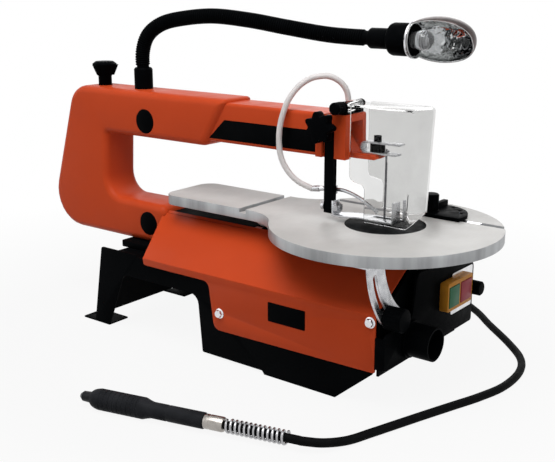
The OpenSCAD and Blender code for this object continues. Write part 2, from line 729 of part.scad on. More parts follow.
// Tension rod through the tails of both arms, and its lobed knob
module tension_rod() saw(steel) {
    bar_z(-tension_x, 0, tension_r, lower_z - 12, rod_top);
    bar_z(-tension_x, 0, 8, lower_z - 12, lower_z - 7.3);
    bar_z(-tension_x, 0, 8, upper_z + 8.6, upper_z + 13);
}
rod_top = 268;
knob_low = 246;
knob_flare = 265;
knob_top = 284;
module tension_knob() saw(black) translate([-tension_x, 0, 0]) difference() {
    union() {
        rotate_extrude() polygon([[0, knob_low], [knob_neck, knob_low], [knob_neck, knob_flare],
            [knob_neck + 6.5, knob_top - 5], [knob_neck + 7, knob_top - 3], [knob_neck + 3, knob_top],
            [0, knob_top]]);
        for (i = [0 : 2]) rotate(120 * i + 30) translate([knob_neck + 1, 0, knob_flare + 2])
            cylinder(r1 = 3, r2 = 8.5, h = knob_top - knob_flare - 6);
    }
    bar_z(0, 0, tension_r + run, knob_low - past, rod_top + gap);
}

// Lamp: sleeve, ribbed gooseneck, head, scoop shade and bulb
module lamp_base() saw(black) translate([lamp_x, 0, 0]) difference() {
    union() {
        bar_z(0, 0, sleeve_r - 3 - run, frame_top - lamp_seat, frame_top + past);
        rotate_extrude() polygon([[0, frame_top], [sleeve_r, frame_top],
            [sleeve_r, frame_top + sleeve_h - 2], [sleeve_r - 1.5, frame_top + sleeve_h],
            [0, frame_top + sleeve_h]]);
    }
    bar_z(0, 0, neck_r + run, neck_points[0][2] - gap, frame_top + sleeve_h + past);
}
module gooseneck() saw(black) {
    table = by_length(neck_points, 150);
    total = table[len(table) - 1][0];
    plain = 8;
    pitch = (total - 2 * plain) / neck_ribs;
    outer = [[0, 0], for (i = [0 : neck_ribs - 1]) let (at = plain + i * pitch)
        each [[at, 1.4], [at + 0.5 * pitch, 0]], [total, 0.2]];
    inner = [for (i = [40 : -1 : 0]) [total * i / 40, neck_wall]];
    bored_tube([for (q = concat(outer, inner))
        let (u = lookup(q[0], table))
        ring(spline(neck_points, u), slope_at(neck_points, u), neck_r - q[1], 8, [0, 1, 0])]);
}
module head_frame() translate([head_x, head_y, head_z]) rotate([0, 90, 0]) children();
module lamp_head() saw(black) head_frame() difference() {
    rotate_extrude() polygon([[0, neck_room], [collar_r - 1, neck_room], [collar_r, neck_room + 2],
        [collar_r, collar_len - 4],
        [collar_r + 1.5, collar_len], [socket_r - 1, collar_len + 9], [socket_r, collar_len + 12],
        [socket_r, collar_len + socket_len], [bulb_seat, collar_len + socket_len],
        [bulb_seat, collar_len + 12], [0, collar_len + 12]]);
}
neck_room = 1.3;
bulb_seat = 9;
shade_t = 1.5;
shade_z = collar_len + socket_len - 12;
function egg(r, l, a) = [r * pow(sin(a), 0.8), shade_z + l * (1 - cos(a)) / 2];
module lamp_shade() saw(zinc) head_frame() difference() {
    rotate_extrude() polygon(concat(
        [for (a = [30 : 6 : 180]) egg(shade_r, shade_len + 12, a)],
        [for (a = [180 : -6 : 30]) egg(shade_r - shade_t, shade_len + 12 - shade_t, a)]));
    rotate(-55) translate([2, -40, shade_z + 14]) cube([60, 80, 90]);
    bar_z(0, 0, socket_r + run, 0, collar_len + socket_len + past);
}
module lamp_bulb() saw("#f2efe6") head_frame() translate([0, 0, collar_len + 12 + gap]) rotate_extrude()
    polygon(concat([[0, 0], [bulb_seat - run - 0.2, 0], [bulb_seat - 0.3, 16]],
        [for (a = [-30 : 15 : 90]) [11 * cos(a), 27 + 11 * sin(a)]]));

// Blower: bellows on the upper arm, outlet on top, clear hose, nozzle and its clip
module blower_bellows() saw(black) translate([-112, 0, 0]) rotate_extrude() polygon([
    [0, bellows_low], [11, bellows_low], [9, bellows_low + 3], [11, bellows_low + 6], [9, bellows_low + 9],
    [10, room_high - gap], [0, room_high - gap]]);
bellows_low = upper_z + 12 + gap;
module blower_outlet() saw(black) difference() {
    union() {
        bar_z(outlet_x, outlet_y, 5, arm_top, arm_top + 2);
        bar_z(outlet_x, outlet_y, 3.2, arm_top, hose_points[0][2] - gap);
    }
    bar_z(outlet_x, outlet_y, 1.6, arm_top - past, hose_points[0][2] + past);
}
module blower_hose() saw("#e9ecee") cord_tube(hose_points, 3.2, 7, 8, [0, 1, 0]);
fitting_a = hose_points[len(hose_points) - 1];
fitting_b = nozzle_points[0];
module blower_nozzle() saw(zinc) {
    d = unit(fitting_b - fitting_a);
    e = slope_at(hose_points, len(hose_points) - 1);
    tube(concat([ring(fitting_a + gap * e, e, 3.6, 10, [0, 1, 0])],
        [for (q = [[9, 3.6], [9.5, 2.8], [14, 2.8]])
            ring(fitting_a + q[0] * d, d, q[1], 10, [0, 1, 0])]));
    cord_tube(concat([fitting_a + 11 * d], nozzle_points), 2, 5, 8, [0, 1, 0]);
}
clip_x = nozzle_points[1][0];
clip_y = nozzle_points[1][1];
clip_mid = nozzle_points[1][2];
module nozzle_clip() saw(zinc) difference() {
    block([clip_x - 3, -post_in + post_t, clip_mid - 5], [clip_x + 3, clip_y + 4, clip_mid + 4]);
    block([clip_x - 4, clip_y - 2.2, clip_mid - 2.8], [clip_x + 4, clip_y + 2.2, clip_mid + 2.6]);
}

// Hold-down: post, forked foot with turned-up toes, its bolt, and the star knob that clamps the post
module hold_down_post() saw(black) difference() {
    block([-post_x - post_w / 2, -post_in, post_bottom],
        [-post_x + post_w / 2, -post_in + post_t, post_top]);
    bar_x(-post_in + post_t / 2, foot_z + 9, 2.5 + run, -post_x - post_w, -post_x + post_w);
}
ear_x = -post_x + post_w / 2;
fork_y = 4;
foot_left = 18;
foot_right = 8;
toe_x = 20;
toe_z = foot_z + 23;
module hold_down_foot() saw(zinc) difference() {
    union() {
        translate([0, 0, foot_z]) linear_extrude(foot_t) polygon(rounded([
            [ear_x, -head_half, 1], [ear_x + 12, -head_half, 3], [-22, -foot_left, 6],
            [toe_x, -foot_left, 1],
            [toe_x, foot_right, 1], [-20, foot_right, 8], [ear_x, -12, 3]], 0, 4));
        block([ear_x, -head_half, foot_z], [ear_x + foot_t, -12, foot_z + 17]);
        block([toe_x - foot_t, -foot_left, foot_z], [toe_x, foot_right, toe_z]);
    }
    block([-9, -fork_y, foot_z - past], [toe_x + past, fork_y, toe_z + past]);
    bar_z(-9, 0, fork_y, foot_z - past, foot_z + foot_t + past);
    bar_x(-post_in + post_t / 2, foot_z + 9, 2.5 + run, ear_x - past, ear_x + foot_t + past);
}
module foot_bolt() saw(zinc) {
    bar_x(-post_in + post_t / 2, foot_z + 9, 2.5, -post_x - post_w / 2 - 4, ear_x + foot_t + 6);
    translate([ear_x + foot_t, -post_in + post_t / 2, foot_z + 9]) rotate([0, 90, 0])
        cylinder(r = 6, h = 5, $fn = 6);
    bar_x(-post_in + post_t / 2, foot_z + 9, 4.5, -post_x - post_w / 2 - 3.5, -post_x - post_w / 2);
}
lobe = 2.4;
module star_knob() saw(black) translate([-post_x, -head_half, star_z]) rotate([90, 0, 0]) {
    bar_z(0, 0, stud_r, -head_half + post_in + gap, 10);
    bar_z(0, 0, 7, 1.5, 9);
    translate([0, 0, 8]) linear_extrude(12) polygon([for (i = [0 : 83])
        let (a = 360 * i / 84, r = star_d / 2 - lobe + lobe * cos(7 * a)) r * [cos(a), sin(a)]]);
}

// Blade guard: a clear box, open behind and below, hung from a bolt on the arm's top
guard_outline = [
    [-arm_front + 3, guard_top, 2], [-arm_front + 3, 192, 2], [-arm_front + 3, 182, 8], [-14, 178, 6],
    [-14, guard_left_z, 2], [guard_front - 6, guard_left_z, 2], [guard_front, guard_top, 5]
];
guard_room = [
    [-60, guard_top - guard_t, 1], [-60, guard_left_z - 40, 1],
    [guard_front - 6 - guard_t - 2, guard_left_z - 40, 1], [guard_front - guard_t, guard_top - guard_t, 4]
];
module blade_guard() saw("#e4e8ea") difference() {
    union() {
        difference() {
            slab_y(-guard_half, guard_half) polygon(rounded(guard_outline, 0, 4));
            slab_y(-guard_half + guard_t, guard_half - guard_t) polygon(rounded(guard_room, 0, 4));
        }
        block([hinge_x, -18, guard_top - guard_t], [-arm_front + 6, 12, guard_top]);
        bar_y(hinge_x, hinge_z, boss_r, -18, 12);
    }
    bar_y(hinge_x, hinge_z, bolt_rad + run, -20, 14);
    slab_x(-60, guard_front + past) polygon([[-guard_half - past, guard_left_z - 50],
        [guard_half + past, guard_left_z - 50], [guard_half + past, guard_right_z],
        [-guard_half - past, guard_left_z]]);
}
module guard_hinge() saw(black) {
    for (y = [[-22, -18 - gap], [12 + gap, 16]]) slab_y(y[0], y[1]) union() {
        translate([hinge_x, hinge_z]) circle(boss_r);
        translate([hinge_x - boss_r, arm_top]) square([2 * boss_r, hinge_z - arm_top]);
    }
    block([hinge_x - boss_r, -22, arm_top], [hinge_x + boss_r, 16, arm_top + 1]);
    bar_y(hinge_x, hinge_z, bolt_rad, -24, 18);
}
module guard_knob() saw(black) translate([hinge_x, -22 - gap, hinge_z]) rotate([90, 0, 0]) difference() {
    ribbed_knob(6.5, 14, 18);
    bar_z(0, 0, bolt_rad + run, -past, 2);
}

// Table: a disc with a tongue, hollow blends, grooves, an insert seat and a webbed underside
module table_shape() {
    bx = -sqrt(pow(table_r + blend_r, 2) - pow(tongue_half + blend_r, 2));
    by = tongue_half + blend_r;
    k = table_r / (table_r + blend_r);
    straight = tongue_len - tongue_corner;
    difference() {
        union() {
            circle(table_r, $fn = 128);
            polygon([[bx, -by], [bx * k, -by * k], [bx * k, by * k], [bx, by]]);
            translate([-straight, -tongue_half]) square([straight + bx * k, 2 * tongue_half]);
        }
        for (s = [-1, 1]) translate([bx, s * by]) circle(blend_r);
    }
    translate([-tongue_len, -tongue_half + tongue_corner])
        square([2 * tongue_corner, 2 * (tongue_half - tongue_corner)]);
    for (s = [-1, 1]) translate([-straight, s * (tongue_half - tongue_corner)]) circle(tongue_corner);
}
module table_pocket() {
    difference() {
        union() {
            circle(table_r - rim_w);
            translate([-tongue_len + rim_w + tongue_corner / 2, -tongue_half + rim_w])
                square([tongue_len, 2 * (tongue_half - rim_w)]);
        }
        circle(insert_r + ledge);
        for (a = [45, 135, 225, 315]) rotate(a) translate([0, -2.5]) square([table_r, 5]);
        translate([30, -table_r]) square([30, 52]);
        translate([front_x - 8, -lug_r - 6]) square([16, 2 * lug_r + 12]);
        translate([-groove_x - 8, -table_r]) square([30, 2 * table_r]);
        translate([-table_r, groove_y - groove_w]) square([2 * table_r, 2 * groove_w]);
    }
}
module table_top() saw(castgrey) difference() {
    translate([0, 0, under_z]) linear_extrude(table_t) table_shape();
    translate([0, 0, under_z - past]) linear_extrude(table_t - web_t + past) table_pocket();
    bar_z(0, 0, insert_r + run, table_z - insert_t - 0.2, table_z + past);
    bar_z(0, 0, insert_r - ledge, under_z - past, table_z);
    block([-groove_x - groove_w / 2, -table_r, table_z - groove_d],
        [-groove_x + groove_w / 2, table_r, table_z + past]);
    block([-table_r, groove_y - groove_w / 2, table_z - groove_d],
        [table_r, groove_y + groove_w / 2, table_z + past]);
}
module table_insert() saw(black) difference() {
    bar_z(0, 0, insert_r, table_z - insert_t - 0.2, table_z - 0.2);
    bar_z(0, 0, 6, table_z - 2 * insert_t, table_z + past);
    block([0, -2.5, table_z - 2 * insert_t], [20, 2.5, table_z + past]);
}

// Trunnion lugs on the table's underside, turning in the saddles about the table's face
module trunnion_lugs() saw(castgrey) {
    for (x = [front_x + front_t / 2, -groove_x + 8]) slab_x(x - lug_w / 2, x + lug_w / 2) difference() {
        translate([0, table_z]) circle(lug_r);
        translate([-lug_r - past, under_z]) square(2 * lug_r + 2 * past);
    }
}

// Tilt bracket: an arc band with a concentric slot, bolted under the table by its top flange
module arc_band(r0, r1, a0, a1) difference() {
    circle(r1, $fn = 128);
    circle(r0, $fn = 128);
    polygon([[0, 0], for (i = [0 : 12]) let (a = a1 + (360 + a0 - a1) * i / 12)
        2 * r1 * [cos(a), sin(a)]]);
}
slot_top = 14;
bracket_low = stud_z - 11;
module tilt_bracket() saw(zinc) {
    slab_x(bracket_x, bracket_x + bracket_t) translate([0, table_z]) difference() {
        arc_band(bracket_r - bracket_band, bracket_r, 180, 180 + stud_angle + 10);
        translate([-bracket_r - past, -table_t]) square([bracket_r, table_t + past]);
        translate([-2 * bracket_r, bracket_low - table_z - bracket_r]) square([2 * bracket_r, bracket_r]);
        arc_band(slot_r - slot_w / 2, slot_r + slot_w / 2, 180 + slot_top, 182 + stud_angle);
        for (a = [180 + slot_top, 182 + stud_angle]) rotate(a) translate([slot_r, 0]) circle(slot_w / 2);
    }
    block([32, -bracket_r + 4, under_z - bracket_t],
        [bracket_x + bracket_t, -bracket_r + bracket_band, under_z]);
}
module tilt_stud() saw(zinc) {
    bar_x(stud_y, stud_z, stud_r, front_x, bracket_x + 20);
    bar_x(stud_y, stud_z, 5, front_x + front_t, bracket_x - gap);
}
module tilt_knob() saw(black)
    translate([bracket_x + bracket_t + gap, stud_y, stud_z]) rotate([0, 90, 0]) difference() {
        ribbed_knob(12, 20, 16);
        bar_z(0, 0, stud_r + run, -past, 17);
    }

// Mitre gauge in the long groove: bar, swivelling head and lock knob
mitre_x = 20;
module mitre_bar() saw(steel) {
    block([-30, groove_y - groove_w / 2 + 0.2, table_z - groove_d + gap],
        [80, groove_y + groove_w / 2 - 0.2, table_z - gap]);
    bar_z(mitre_x, groove_y, stud_r, table_z - groove_d + past, table_z + 16);
}
module mitre_head() saw(black) translate([mitre_x, groove_y, table_z + gap]) difference() {
    union() {
        linear_extrude(4) difference() {
            circle(40);
            translate([-90, -50]) square([90, 100]);
            translate([-past, -60]) square([60, 50]);
        }
        block([-6, 10, 0], [0, 40, 10]);
        bar_z(0, 0, 9, 0, 6);
    }
    bar_z(0, 0, stud_r + run, -past, 12);
    for (a = [20, 45, 70]) rotate(a) bar_z(33, 0, 2, -past, 5);
}
module mitre_knob() saw(black) translate([mitre_x, groove_y, table_z + 6 + 2 * gap]) difference() {
    ribbed_knob(8.5, 18, 14);
    bar_z(0, 0, stud_r + run, -past, 11);
}

// Controls: switch housing with two buttons, speed knob, dust port
switch_x = face_x + face_t;
switch_t = 10;
switch_y = [19, 75];
switch_z = [45, 77];
button_z = [49, 72];
start_y = [22, 44];
stop_y = [48, 72];
press = 3;
module button_hole(y) block([switch_x + past, y[0] - gap, button_z[0] - gap],
    [switch_x + 2 * switch_t, y[1] + gap, button_z[1] + gap]);
module switch_housing() saw("#cd8728") difference() {
    slab_x(switch_x, switch_x + switch_t) polygon(rounded([[switch_y[0], switch_z[0], 3],
        [switch_y[1], switch_z[0], 3], [switch_y[1], switch_z[1], 3], [switch_y[0], switch_z[1], 3]], 0, 4));
    button_hole(start_y);
    button_hole(stop_y);
}
module button(y) block([switch_x + past + press + gap, y[0], button_z[0]],
    [switch_x + switch_t + past, y[1], button_z[1]]);
module start_button() saw("#3c785a") button(start_y);
module stop_button() saw("#af4655") button(stop_y);
module speed_knob() saw(black) {
    translate([switch_x + past + gap, speed_y, speed_z]) rotate([0, 90, 0]) ribbed_knob(8, 15, 16);
    bar_x(speed_y, speed_z, speed_shaft, face_x - 4, switch_x + 4);
}
module dust_port() saw(black) difference() {
    union() {
        bar_x(port_y, port_z, port_r, switch_x, switch_x + port_len);
        bar_x(port_y, port_z, port_r + 2, switch_x, switch_x + 3);
    }
    bar_x(port_y, port_z, port_r - port_wall, switch_x - past, switch_x + port_len + past);
}

// Flexible shaft: casing with its coupling nut, helical spring, and the handpiece on the bench
module hand_frame() translate([hand_tip[0], hand_tip[1], hand_z]) rotate([0, 0, hand_turn])
    rotate([0, 90, 0]) children();
flex_end = [hand_tip[0], hand_tip[1], hand_z] + (hand_end - gap) * [hand_dir[0], hand_dir[1], 0];
flex_start = [-motor_x, flex_y + nut_len - 6, motor_z];
module flex_shaft() saw(charcoal) {
    cord_tube(concat([flex_start], flex_points, [flex_end]), flex_r, 14, 8, [0, 0, 1]);
    bar_y(-motor_x, motor_z, 11, flex_y, flex_y + nut_len);
}
spring_wire = 1.3;
spring_r = 6.1;
spring_pitch = (spring_l - 4 * spring_wire) / spring_turns;
echo(least_spring_gap = spring_pitch - 2 * spring_wire);
module flex_spring() saw(zinc) hand_frame() {
    start = tail_at + 2 * spring_wire;
    rise = spring_pitch / 360;
    tube([for (a = [0 : 45 : 360 * spring_turns])
        let (out = [cos(a), sin(a), 0], t = unit([-sin(a) * spring_r, cos(a) * spring_r, rise * 180 / PI]))
        ring(spring_r * out + [0, 0, start + rise * a], t, spring_wire, 6, out)]);
}
barrel_r = 8.15;
ferrule_r = 7.4;
spindle_r = 3;
module handpiece() saw(charcoal) hand_frame() difference() {
    rotate_extrude() polygon([[0, nut_l], [7, nut_l], [grip_r - 1.5, nut_l + 3], [grip_r, nut_l + 9],
        [grip_r, nut_l + grip_l - 8], [barrel_r + 0.5, nut_l + grip_l], [barrel_r, nut_l + grip_l + 2],
        [barrel_r, nut_l + grip_l + barrel_l], [ferrule_r, nut_l + grip_l + barrel_l + 1],
        [ferrule_r, tail_at - 1], [ferrule_r - 0.8, tail_at], [flex_r, tail_at],
        [flex_r, hand_end - 2 * gap], [0, hand_end - 2 * gap]]);
    bar_z(0, 0, spindle_r + run, nut_l - past, nut_l + 2 * grip_r);
}
module collet_nut() saw(zinc) hand_frame() {
    rotate_extrude() polygon([[0, 0], [2.7, 0], [5.2, 3.3], [5.7, nut_l - gap], [0, nut_l - gap]]);
    bar_z(0, 0, spindle_r, nut_l / 2, nut_l + 2 * grip_r - past);
}

base_frame();
frame_pedestal();
front_plate();
motor_plate();
table_cradle();
left_cover();
right_cover();
front_cover();
arm_casting_left();
arm_casting_right();
pivot_caps();
pivot_pins();
motor_housing();
takeoff_collar();
rotor();
connecting_rod();
lower_arm();
lower_blade_holder();
upper_arm();
blade_clip();
clip_block();
clip_screw();
blade();
tension_rod();
tension_knob();
lamp_base();
gooseneck();
lamp_head();
lamp_shade();
lamp_bulb();
blower_bellows();
blower_outlet();
blower_hose();
blower_nozzle();
nozzle_clip();
hold_down_post();
hold_down_foot();
foot_bolt();
star_knob();
blade_guard();
guard_hinge();
guard_knob();
table_top();
table_insert();
trunnion_lugs();
tilt_bracket();
tilt_stud();
tilt_knob();
mitre_bar();
mitre_head();
mitre_knob();
switch_housing();
start_button();
stop_button();
speed_knob();
dust_port();
flex_shaft();
flex_spring();
handpiece();
collet_nut();
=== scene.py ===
"""Looks of the benchtop scroll saw: finishes, cords, lamp, trim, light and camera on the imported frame."""
import json
import logging
import math
from dataclasses import dataclass
from enum import Enum
from typing import Iterable, Mapping, Protocol, Sequence, Union

import bmesh
import bpy
from mathutils import Matrix, Vector


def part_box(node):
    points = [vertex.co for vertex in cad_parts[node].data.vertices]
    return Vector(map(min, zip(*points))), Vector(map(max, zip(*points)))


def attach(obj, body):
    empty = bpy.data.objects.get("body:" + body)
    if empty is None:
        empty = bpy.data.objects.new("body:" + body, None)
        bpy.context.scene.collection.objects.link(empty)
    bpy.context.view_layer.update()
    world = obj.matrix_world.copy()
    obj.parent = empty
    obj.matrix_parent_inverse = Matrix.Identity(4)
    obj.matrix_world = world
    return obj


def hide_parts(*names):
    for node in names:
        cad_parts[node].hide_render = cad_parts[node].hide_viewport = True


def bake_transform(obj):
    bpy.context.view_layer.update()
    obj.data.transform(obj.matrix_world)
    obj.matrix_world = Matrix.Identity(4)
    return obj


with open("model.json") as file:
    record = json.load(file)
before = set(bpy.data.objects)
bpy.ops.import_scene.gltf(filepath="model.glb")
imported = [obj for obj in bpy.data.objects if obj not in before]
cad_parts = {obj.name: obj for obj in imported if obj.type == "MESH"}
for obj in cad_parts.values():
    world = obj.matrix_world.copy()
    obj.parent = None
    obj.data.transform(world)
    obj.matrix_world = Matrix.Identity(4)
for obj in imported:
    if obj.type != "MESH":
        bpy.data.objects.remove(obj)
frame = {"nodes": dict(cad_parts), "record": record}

log = logging.getLogger("scroll_saw")

Colour = tuple[float, float, float]
Point = tuple[float, float, float]
Outline = Sequence[tuple[float, float]]
Solid = bmesh.types.BMesh
Ring = list[bmesh.types.BMVert]
Socket = bpy.types.NodeSocket
SocketValue = Union[Socket, float, bool, str, Colour]

MM = 0.001
SAW_X = 217.0
SAW_Z = 34.0
WHITE: Colour = (1.0, 1.0, 1.0)
NOISE_ENDS = (0.3, 0.7)
RANGE_INPUTS = ("From Min", "From Max", "To Min", "To Max")
SHARP_ANGLE = 35.0
TIP_RADIUS = 1e-6


def at(x: float, y: float, z: float) -> Vector:
    """Point of the saw in the shared frame.

    Args:
        x, y, z: Millimetres, with x counted from the blade's own upright line and z from the base's pan.

    Returns:
        The point in metres.
    """
    return Vector(((x + SAW_X) * MM, y * MM, (z + SAW_Z) * MM))


class Body(str, Enum):
    """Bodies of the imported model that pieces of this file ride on."""

    FRAME = "frame"
    UPPER_ARM = "upper_arm"
    LAMP = "lamp"
    HOLD_DOWN = "hold_down"


class Slot(str, Enum):
    """Material slots of the record."""

    ORANGE = "orange_paint"
    BLACK_SHEET = "black_sheet"
    BLACK_PLASTIC = "black_plastic"
    CHARCOAL = "charcoal_plastic"
    ZINC = "zinc_steel"
    BRIGHT = "bright_steel"
    BLADE = "blade_steel"
    TABLE = "cast_table"
    GUARD = "clear_guard"
    HOSE = "clear_hose"
    RUBBER = "black_rubber"
    BULB = "bulb_glass"
    YELLOW = "yellow_plastic"
    GREEN = "green_plastic"
    RED = "red_plastic"


def feed(socket: Socket, value: SocketValue) -> None:
    """Sets or links a node's input.

    Args:
        socket: The input.
        value: A number, a word, a colour, or the output to link.
    """
    if isinstance(value, Socket):
        socket.id_data.links.new(value, socket)
    elif isinstance(value, tuple) and socket.type == "RGBA":
        socket.default_value = (*value, 1.0)
    else:
        socket.default_value = value


def node_in(tree: bpy.types.NodeTree, kind: str, inputs: Mapping[Union[str, int], SocketValue],
            **choices: str) -> bpy.types.Node:
    """Adds a node to a tree.

    Args:
        tree: The node tree.
        kind: Type of the node.
        inputs: What each input takes, by its name or its number.
        **choices: The node's own settings, made before its inputs.

    Returns:
        The node.
    """
    node = tree.nodes.new(kind)
    for name, choice in choices.items():
        setattr(node, name, choice)
    for key, value in inputs.items():
        feed(node.inputs[key], value)
    return node


class ShaderGraph:
    """One node material round a Principled shader, patterned on object coordinates."""

    def __init__(self, name: str) -> None:
        """Makes the empty material.

        Args:
            name: Name of the material.
        """
        self.material = bpy.data.materials.new(name)
        self.material.use_nodes = True
        self.tree = self.material.node_tree
        self.shader = self.tree.nodes["Principled BSDF"]
        self.coords = node_in(self.tree, "ShaderNodeTexCoord", {})

    def put(self, name: str, value: SocketValue) -> None:
        """Sets or links one input of the Principled shader."""
        feed(self.shader.inputs[name], value)

    def noise(self, scale: float, detail: float, stretch: Point = (1.0, 1.0, 1.0)) -> Socket:
        """Fractal noise.

        Args:
            scale: Features per metre.
            detail: Octaves.
            stretch: Factor on each axis, for grain that runs one way.

        Returns:
            The noise value.
        """
        mapping = node_in(self.tree, "ShaderNodeMapping", {
            "Vector": self.coords.outputs["Object"], "Scale": stretch})
        noise = node_in(self.tree, "ShaderNodeTexNoise", {
            "Vector": mapping.outputs["Vector"], "Scale": scale, "Detail": detail})
        return noise.outputs["Fac"]

    def upright(self) -> Socket:
        """How level a face lies.

        Returns:
            One on a flat top, nought on an upright side.
        """
        parts = node_in(self.tree, "ShaderNodeSeparateXYZ", {"Vector": self.coords.outputs["Normal"]})
        size = node_in(self.tree, "ShaderNodeMath", {0: parts.outputs["Z"]}, operation="ABSOLUTE")
        return size.outputs["Value"]

    def tones(self, value: Socket, low: Colour, high: Colour,
              start: float = 0.35, stop: float = 0.65) -> Socket:
        """Two tones blended by a value.

        Args:
            value: The pattern.
            low, high: Tones at the two ends.
            start, stop: Pattern values where the ends are reached.

        Returns:
            The colour.
        """
        ramp = node_in(self.tree, "ShaderNodeValToRGB", {"Fac": value})
        first, last = ramp.color_ramp.elements
        first.position, first.color = start, (*low, 1.0)
        last.position, last.color = stop, (*high, 1.0)
        return ramp.outputs["Color"]

    def blend(self, share: Socket, low: Socket, high: Socket) -> Socket:
        """Two patterned colours mixed by a share.

        Args:
            share: Nought for the first colour, one for the second.
            low, high: The two colours.

        Returns:
            The colour.
        """
        mix = node_in(self.tree, "ShaderNodeMixRGB", {"Fac": share, "Color1": low, "Color2": high})
        return mix.outputs["Color"]

    def spread(self, value: Socket, low: float, high: float) -> Socket:
        """A pattern stretched over a range.

        Args:
            value: The pattern.
            low, high: Ends of the range.

        Returns:
            The number.
        """
        ends = dict(zip(RANGE_INPUTS, (*NOISE_ENDS, low, high)))
        return node_in(self.tree, "ShaderNodeMapRange", {"Value": value, **ends}).outputs["Result"]

    def bump(self, height: Socket, strength: float, depth: float) -> None:
        """Presses a pattern into the surface.

        Args:
            height: The pattern.
            strength: Share of the full effect.
            depth: Depth of the pattern in metres.
        """
        bump = node_in(self.tree, "ShaderNodeBump", {
            "Height": height, "Strength": strength, "Distance": depth})
        self.put("Normal", bump.outputs["Normal"])


class Finish(Protocol):
    """A surface finish that builds its own material."""

    name: str

    def build(self) -> bpy.types.Material:
        """Returns the material."""


@dataclass(frozen=True)
class OpaqueSkin:
    """Paint or plastic with a cloudy tone, an uneven gloss and a fine relief."""

    name: str
    light: Colour
    dark: Colour
    rough: tuple[float, float]
    relief: float
    shine: float
    scales: Point
    octaves: Point
    depth: float

    def build(self) -> bpy.types.Material:
        """Makes the skin's node material.

        Returns:
            The material.
        """
        graph = ShaderGraph(self.name)
        clouds, gloss, relief = zip(self.scales, self.octaves)
        graph.put("Base Color", graph.tones(graph.noise(*clouds), self.dark, self.light))
        graph.put("Roughness", graph.spread(graph.noise(*gloss), *self.rough))
        graph.put("Specular IOR Level", self.shine)
        graph.bump(graph.noise(*relief), self.relief, self.depth)
        return graph.material


@dataclass(frozen=True)
class PowderCoat(OpaqueSkin):
    """Baked satin paint with a light orange-peel skin."""

    rough: tuple[float, float] = (0.30, 0.42)
    relief: float = 0.10
    shine: float = 0.08
    scales: Point = (11.0, 60.0, 650.0)
    octaves: Point = (4.0, 3.0, 2.0)
    depth: float = 0.0006


@dataclass(frozen=True)
class MouldedPlastic(OpaqueSkin):
    """Moulded plastic with a fine spark-eroded grain."""

    rough: tuple[float, float] = (0.34, 0.48)
    relief: float = 0.12
    shine: float = 0.03
    scales: Point = (45.0, 120.0, 1500.0)
    octaves: Point = (3.0, 3.0, 3.0)
    depth: float = 0.0005


@dataclass(frozen=True)
class PlatedMetal:
    """Bare or plated metal with a drawn grain, given as its scale, its strength and its depth."""

    name: str
    light: Colour
    dark: Colour
    rough: tuple[float, float] = (0.20, 0.36)
    stretch: Point = (1.0, 1.0, 8.0)
    grain: Point = (900.0, 0.05, 0.0003)

    def build(self) -> bpy.types.Material:
        """Makes the metal's node material.

        Returns:
            The material.
        """
        scale, strength, depth = self.grain
        graph = ShaderGraph(self.name)
        graph.put("Base Color", graph.tones(graph.noise(scale=90.0, detail=3.0), self.dark, self.light))
        graph.put("Metallic", 1.0)
        gloss = graph.noise(scale=260.0, detail=3.0, stretch=self.stretch)
        graph.put("Roughness", graph.spread(gloss, *self.rough))
        graph.bump(graph.noise(scale, 2.0, self.stretch), strength, depth)
        return graph.material


@dataclass(frozen=True)
class GroundCasting:
    """Ground cast metal with lines left by the wheel, a cloudy tone and a more metallic turned rim, whose
    upright faces take darker tones as painted shade, streaked with painted highlight.
    """

    name: str
    light: Colour
    dark: Colour
    # Tones of the upright rim: darker than the top as painted shade, their streaks painted highlight.
    shaded_rim_light: Colour
    shaded_rim_dark: Colour
    rim_metal: float = 0.85
    face_metal: float = 0.12
    shine: float = 0.25
    rough: tuple[float, float] = (0.36, 0.52)

    def build(self) -> bpy.types.Material:
        """Makes the casting's node material.

        Returns:
            The material.
        """
        graph = ShaderGraph(self.name)
        level = graph.spread(graph.upright(), 0.0, 1.0)
        clouds = graph.noise(scale=26.0, detail=6.0)
        # Upright faces blend to the darker rim tones (painted shade), with vertical streaks of painted
        # highlight.
        painted_highlight_streaks = graph.noise(scale=34.0, detail=5.0, stretch=(1.0, 1.0, 0.05))
        face = graph.tones(clouds, self.dark, self.light, *NOISE_ENDS)
        rim = graph.tones(painted_highlight_streaks, self.shaded_rim_dark, self.shaded_rim_light)
        graph.put("Base Color", graph.blend(level, rim, face))
        graph.put("Metallic", graph.spread(graph.upright(), self.rim_metal, self.face_metal))
        graph.put("Specular IOR Level", self.shine)
        gloss = graph.noise(scale=70.0, detail=4.0, stretch=(14.0, 1.0, 1.0))
        graph.put("Roughness", graph.spread(gloss, *self.rough))
        lines = graph.noise(scale=420.0, detail=3.0, stretch=(9.0, 0.6, 1.0))
        graph.bump(lines, strength=0.10, depth=0.0003)
        return graph.material


@dataclass(frozen=True)
class ClearSheet:
    """Clear moulded sheet or tube with fine handling marks."""

    name: str
    tint: Colour
    dull: Colour
    rough: tuple[float, float]
    passes: float
    bends: float = 1.49

    def build(self) -> bpy.types.Material:
        """Makes the clear node material.

        Returns:
            The material.
        """
        graph = ShaderGraph(self.name)
        graph.put("Base Color", graph.tones(graph.noise(scale=30.0, detail=3.0), self.dull, self.tint))
        marks = graph.noise(scale=500.0, detail=4.0, stretch=(1.0, 1.0, 0.1))
        graph.put("Roughness", graph.spread(marks, *self.rough))
        graph.put("Transmission Weight", self.passes)
        graph.put("IOR", self.bends)
        graph.bump(graph.noise(scale=60.0, detail=2.0), strength=0.03, depth=0.0005)
        return graph.material


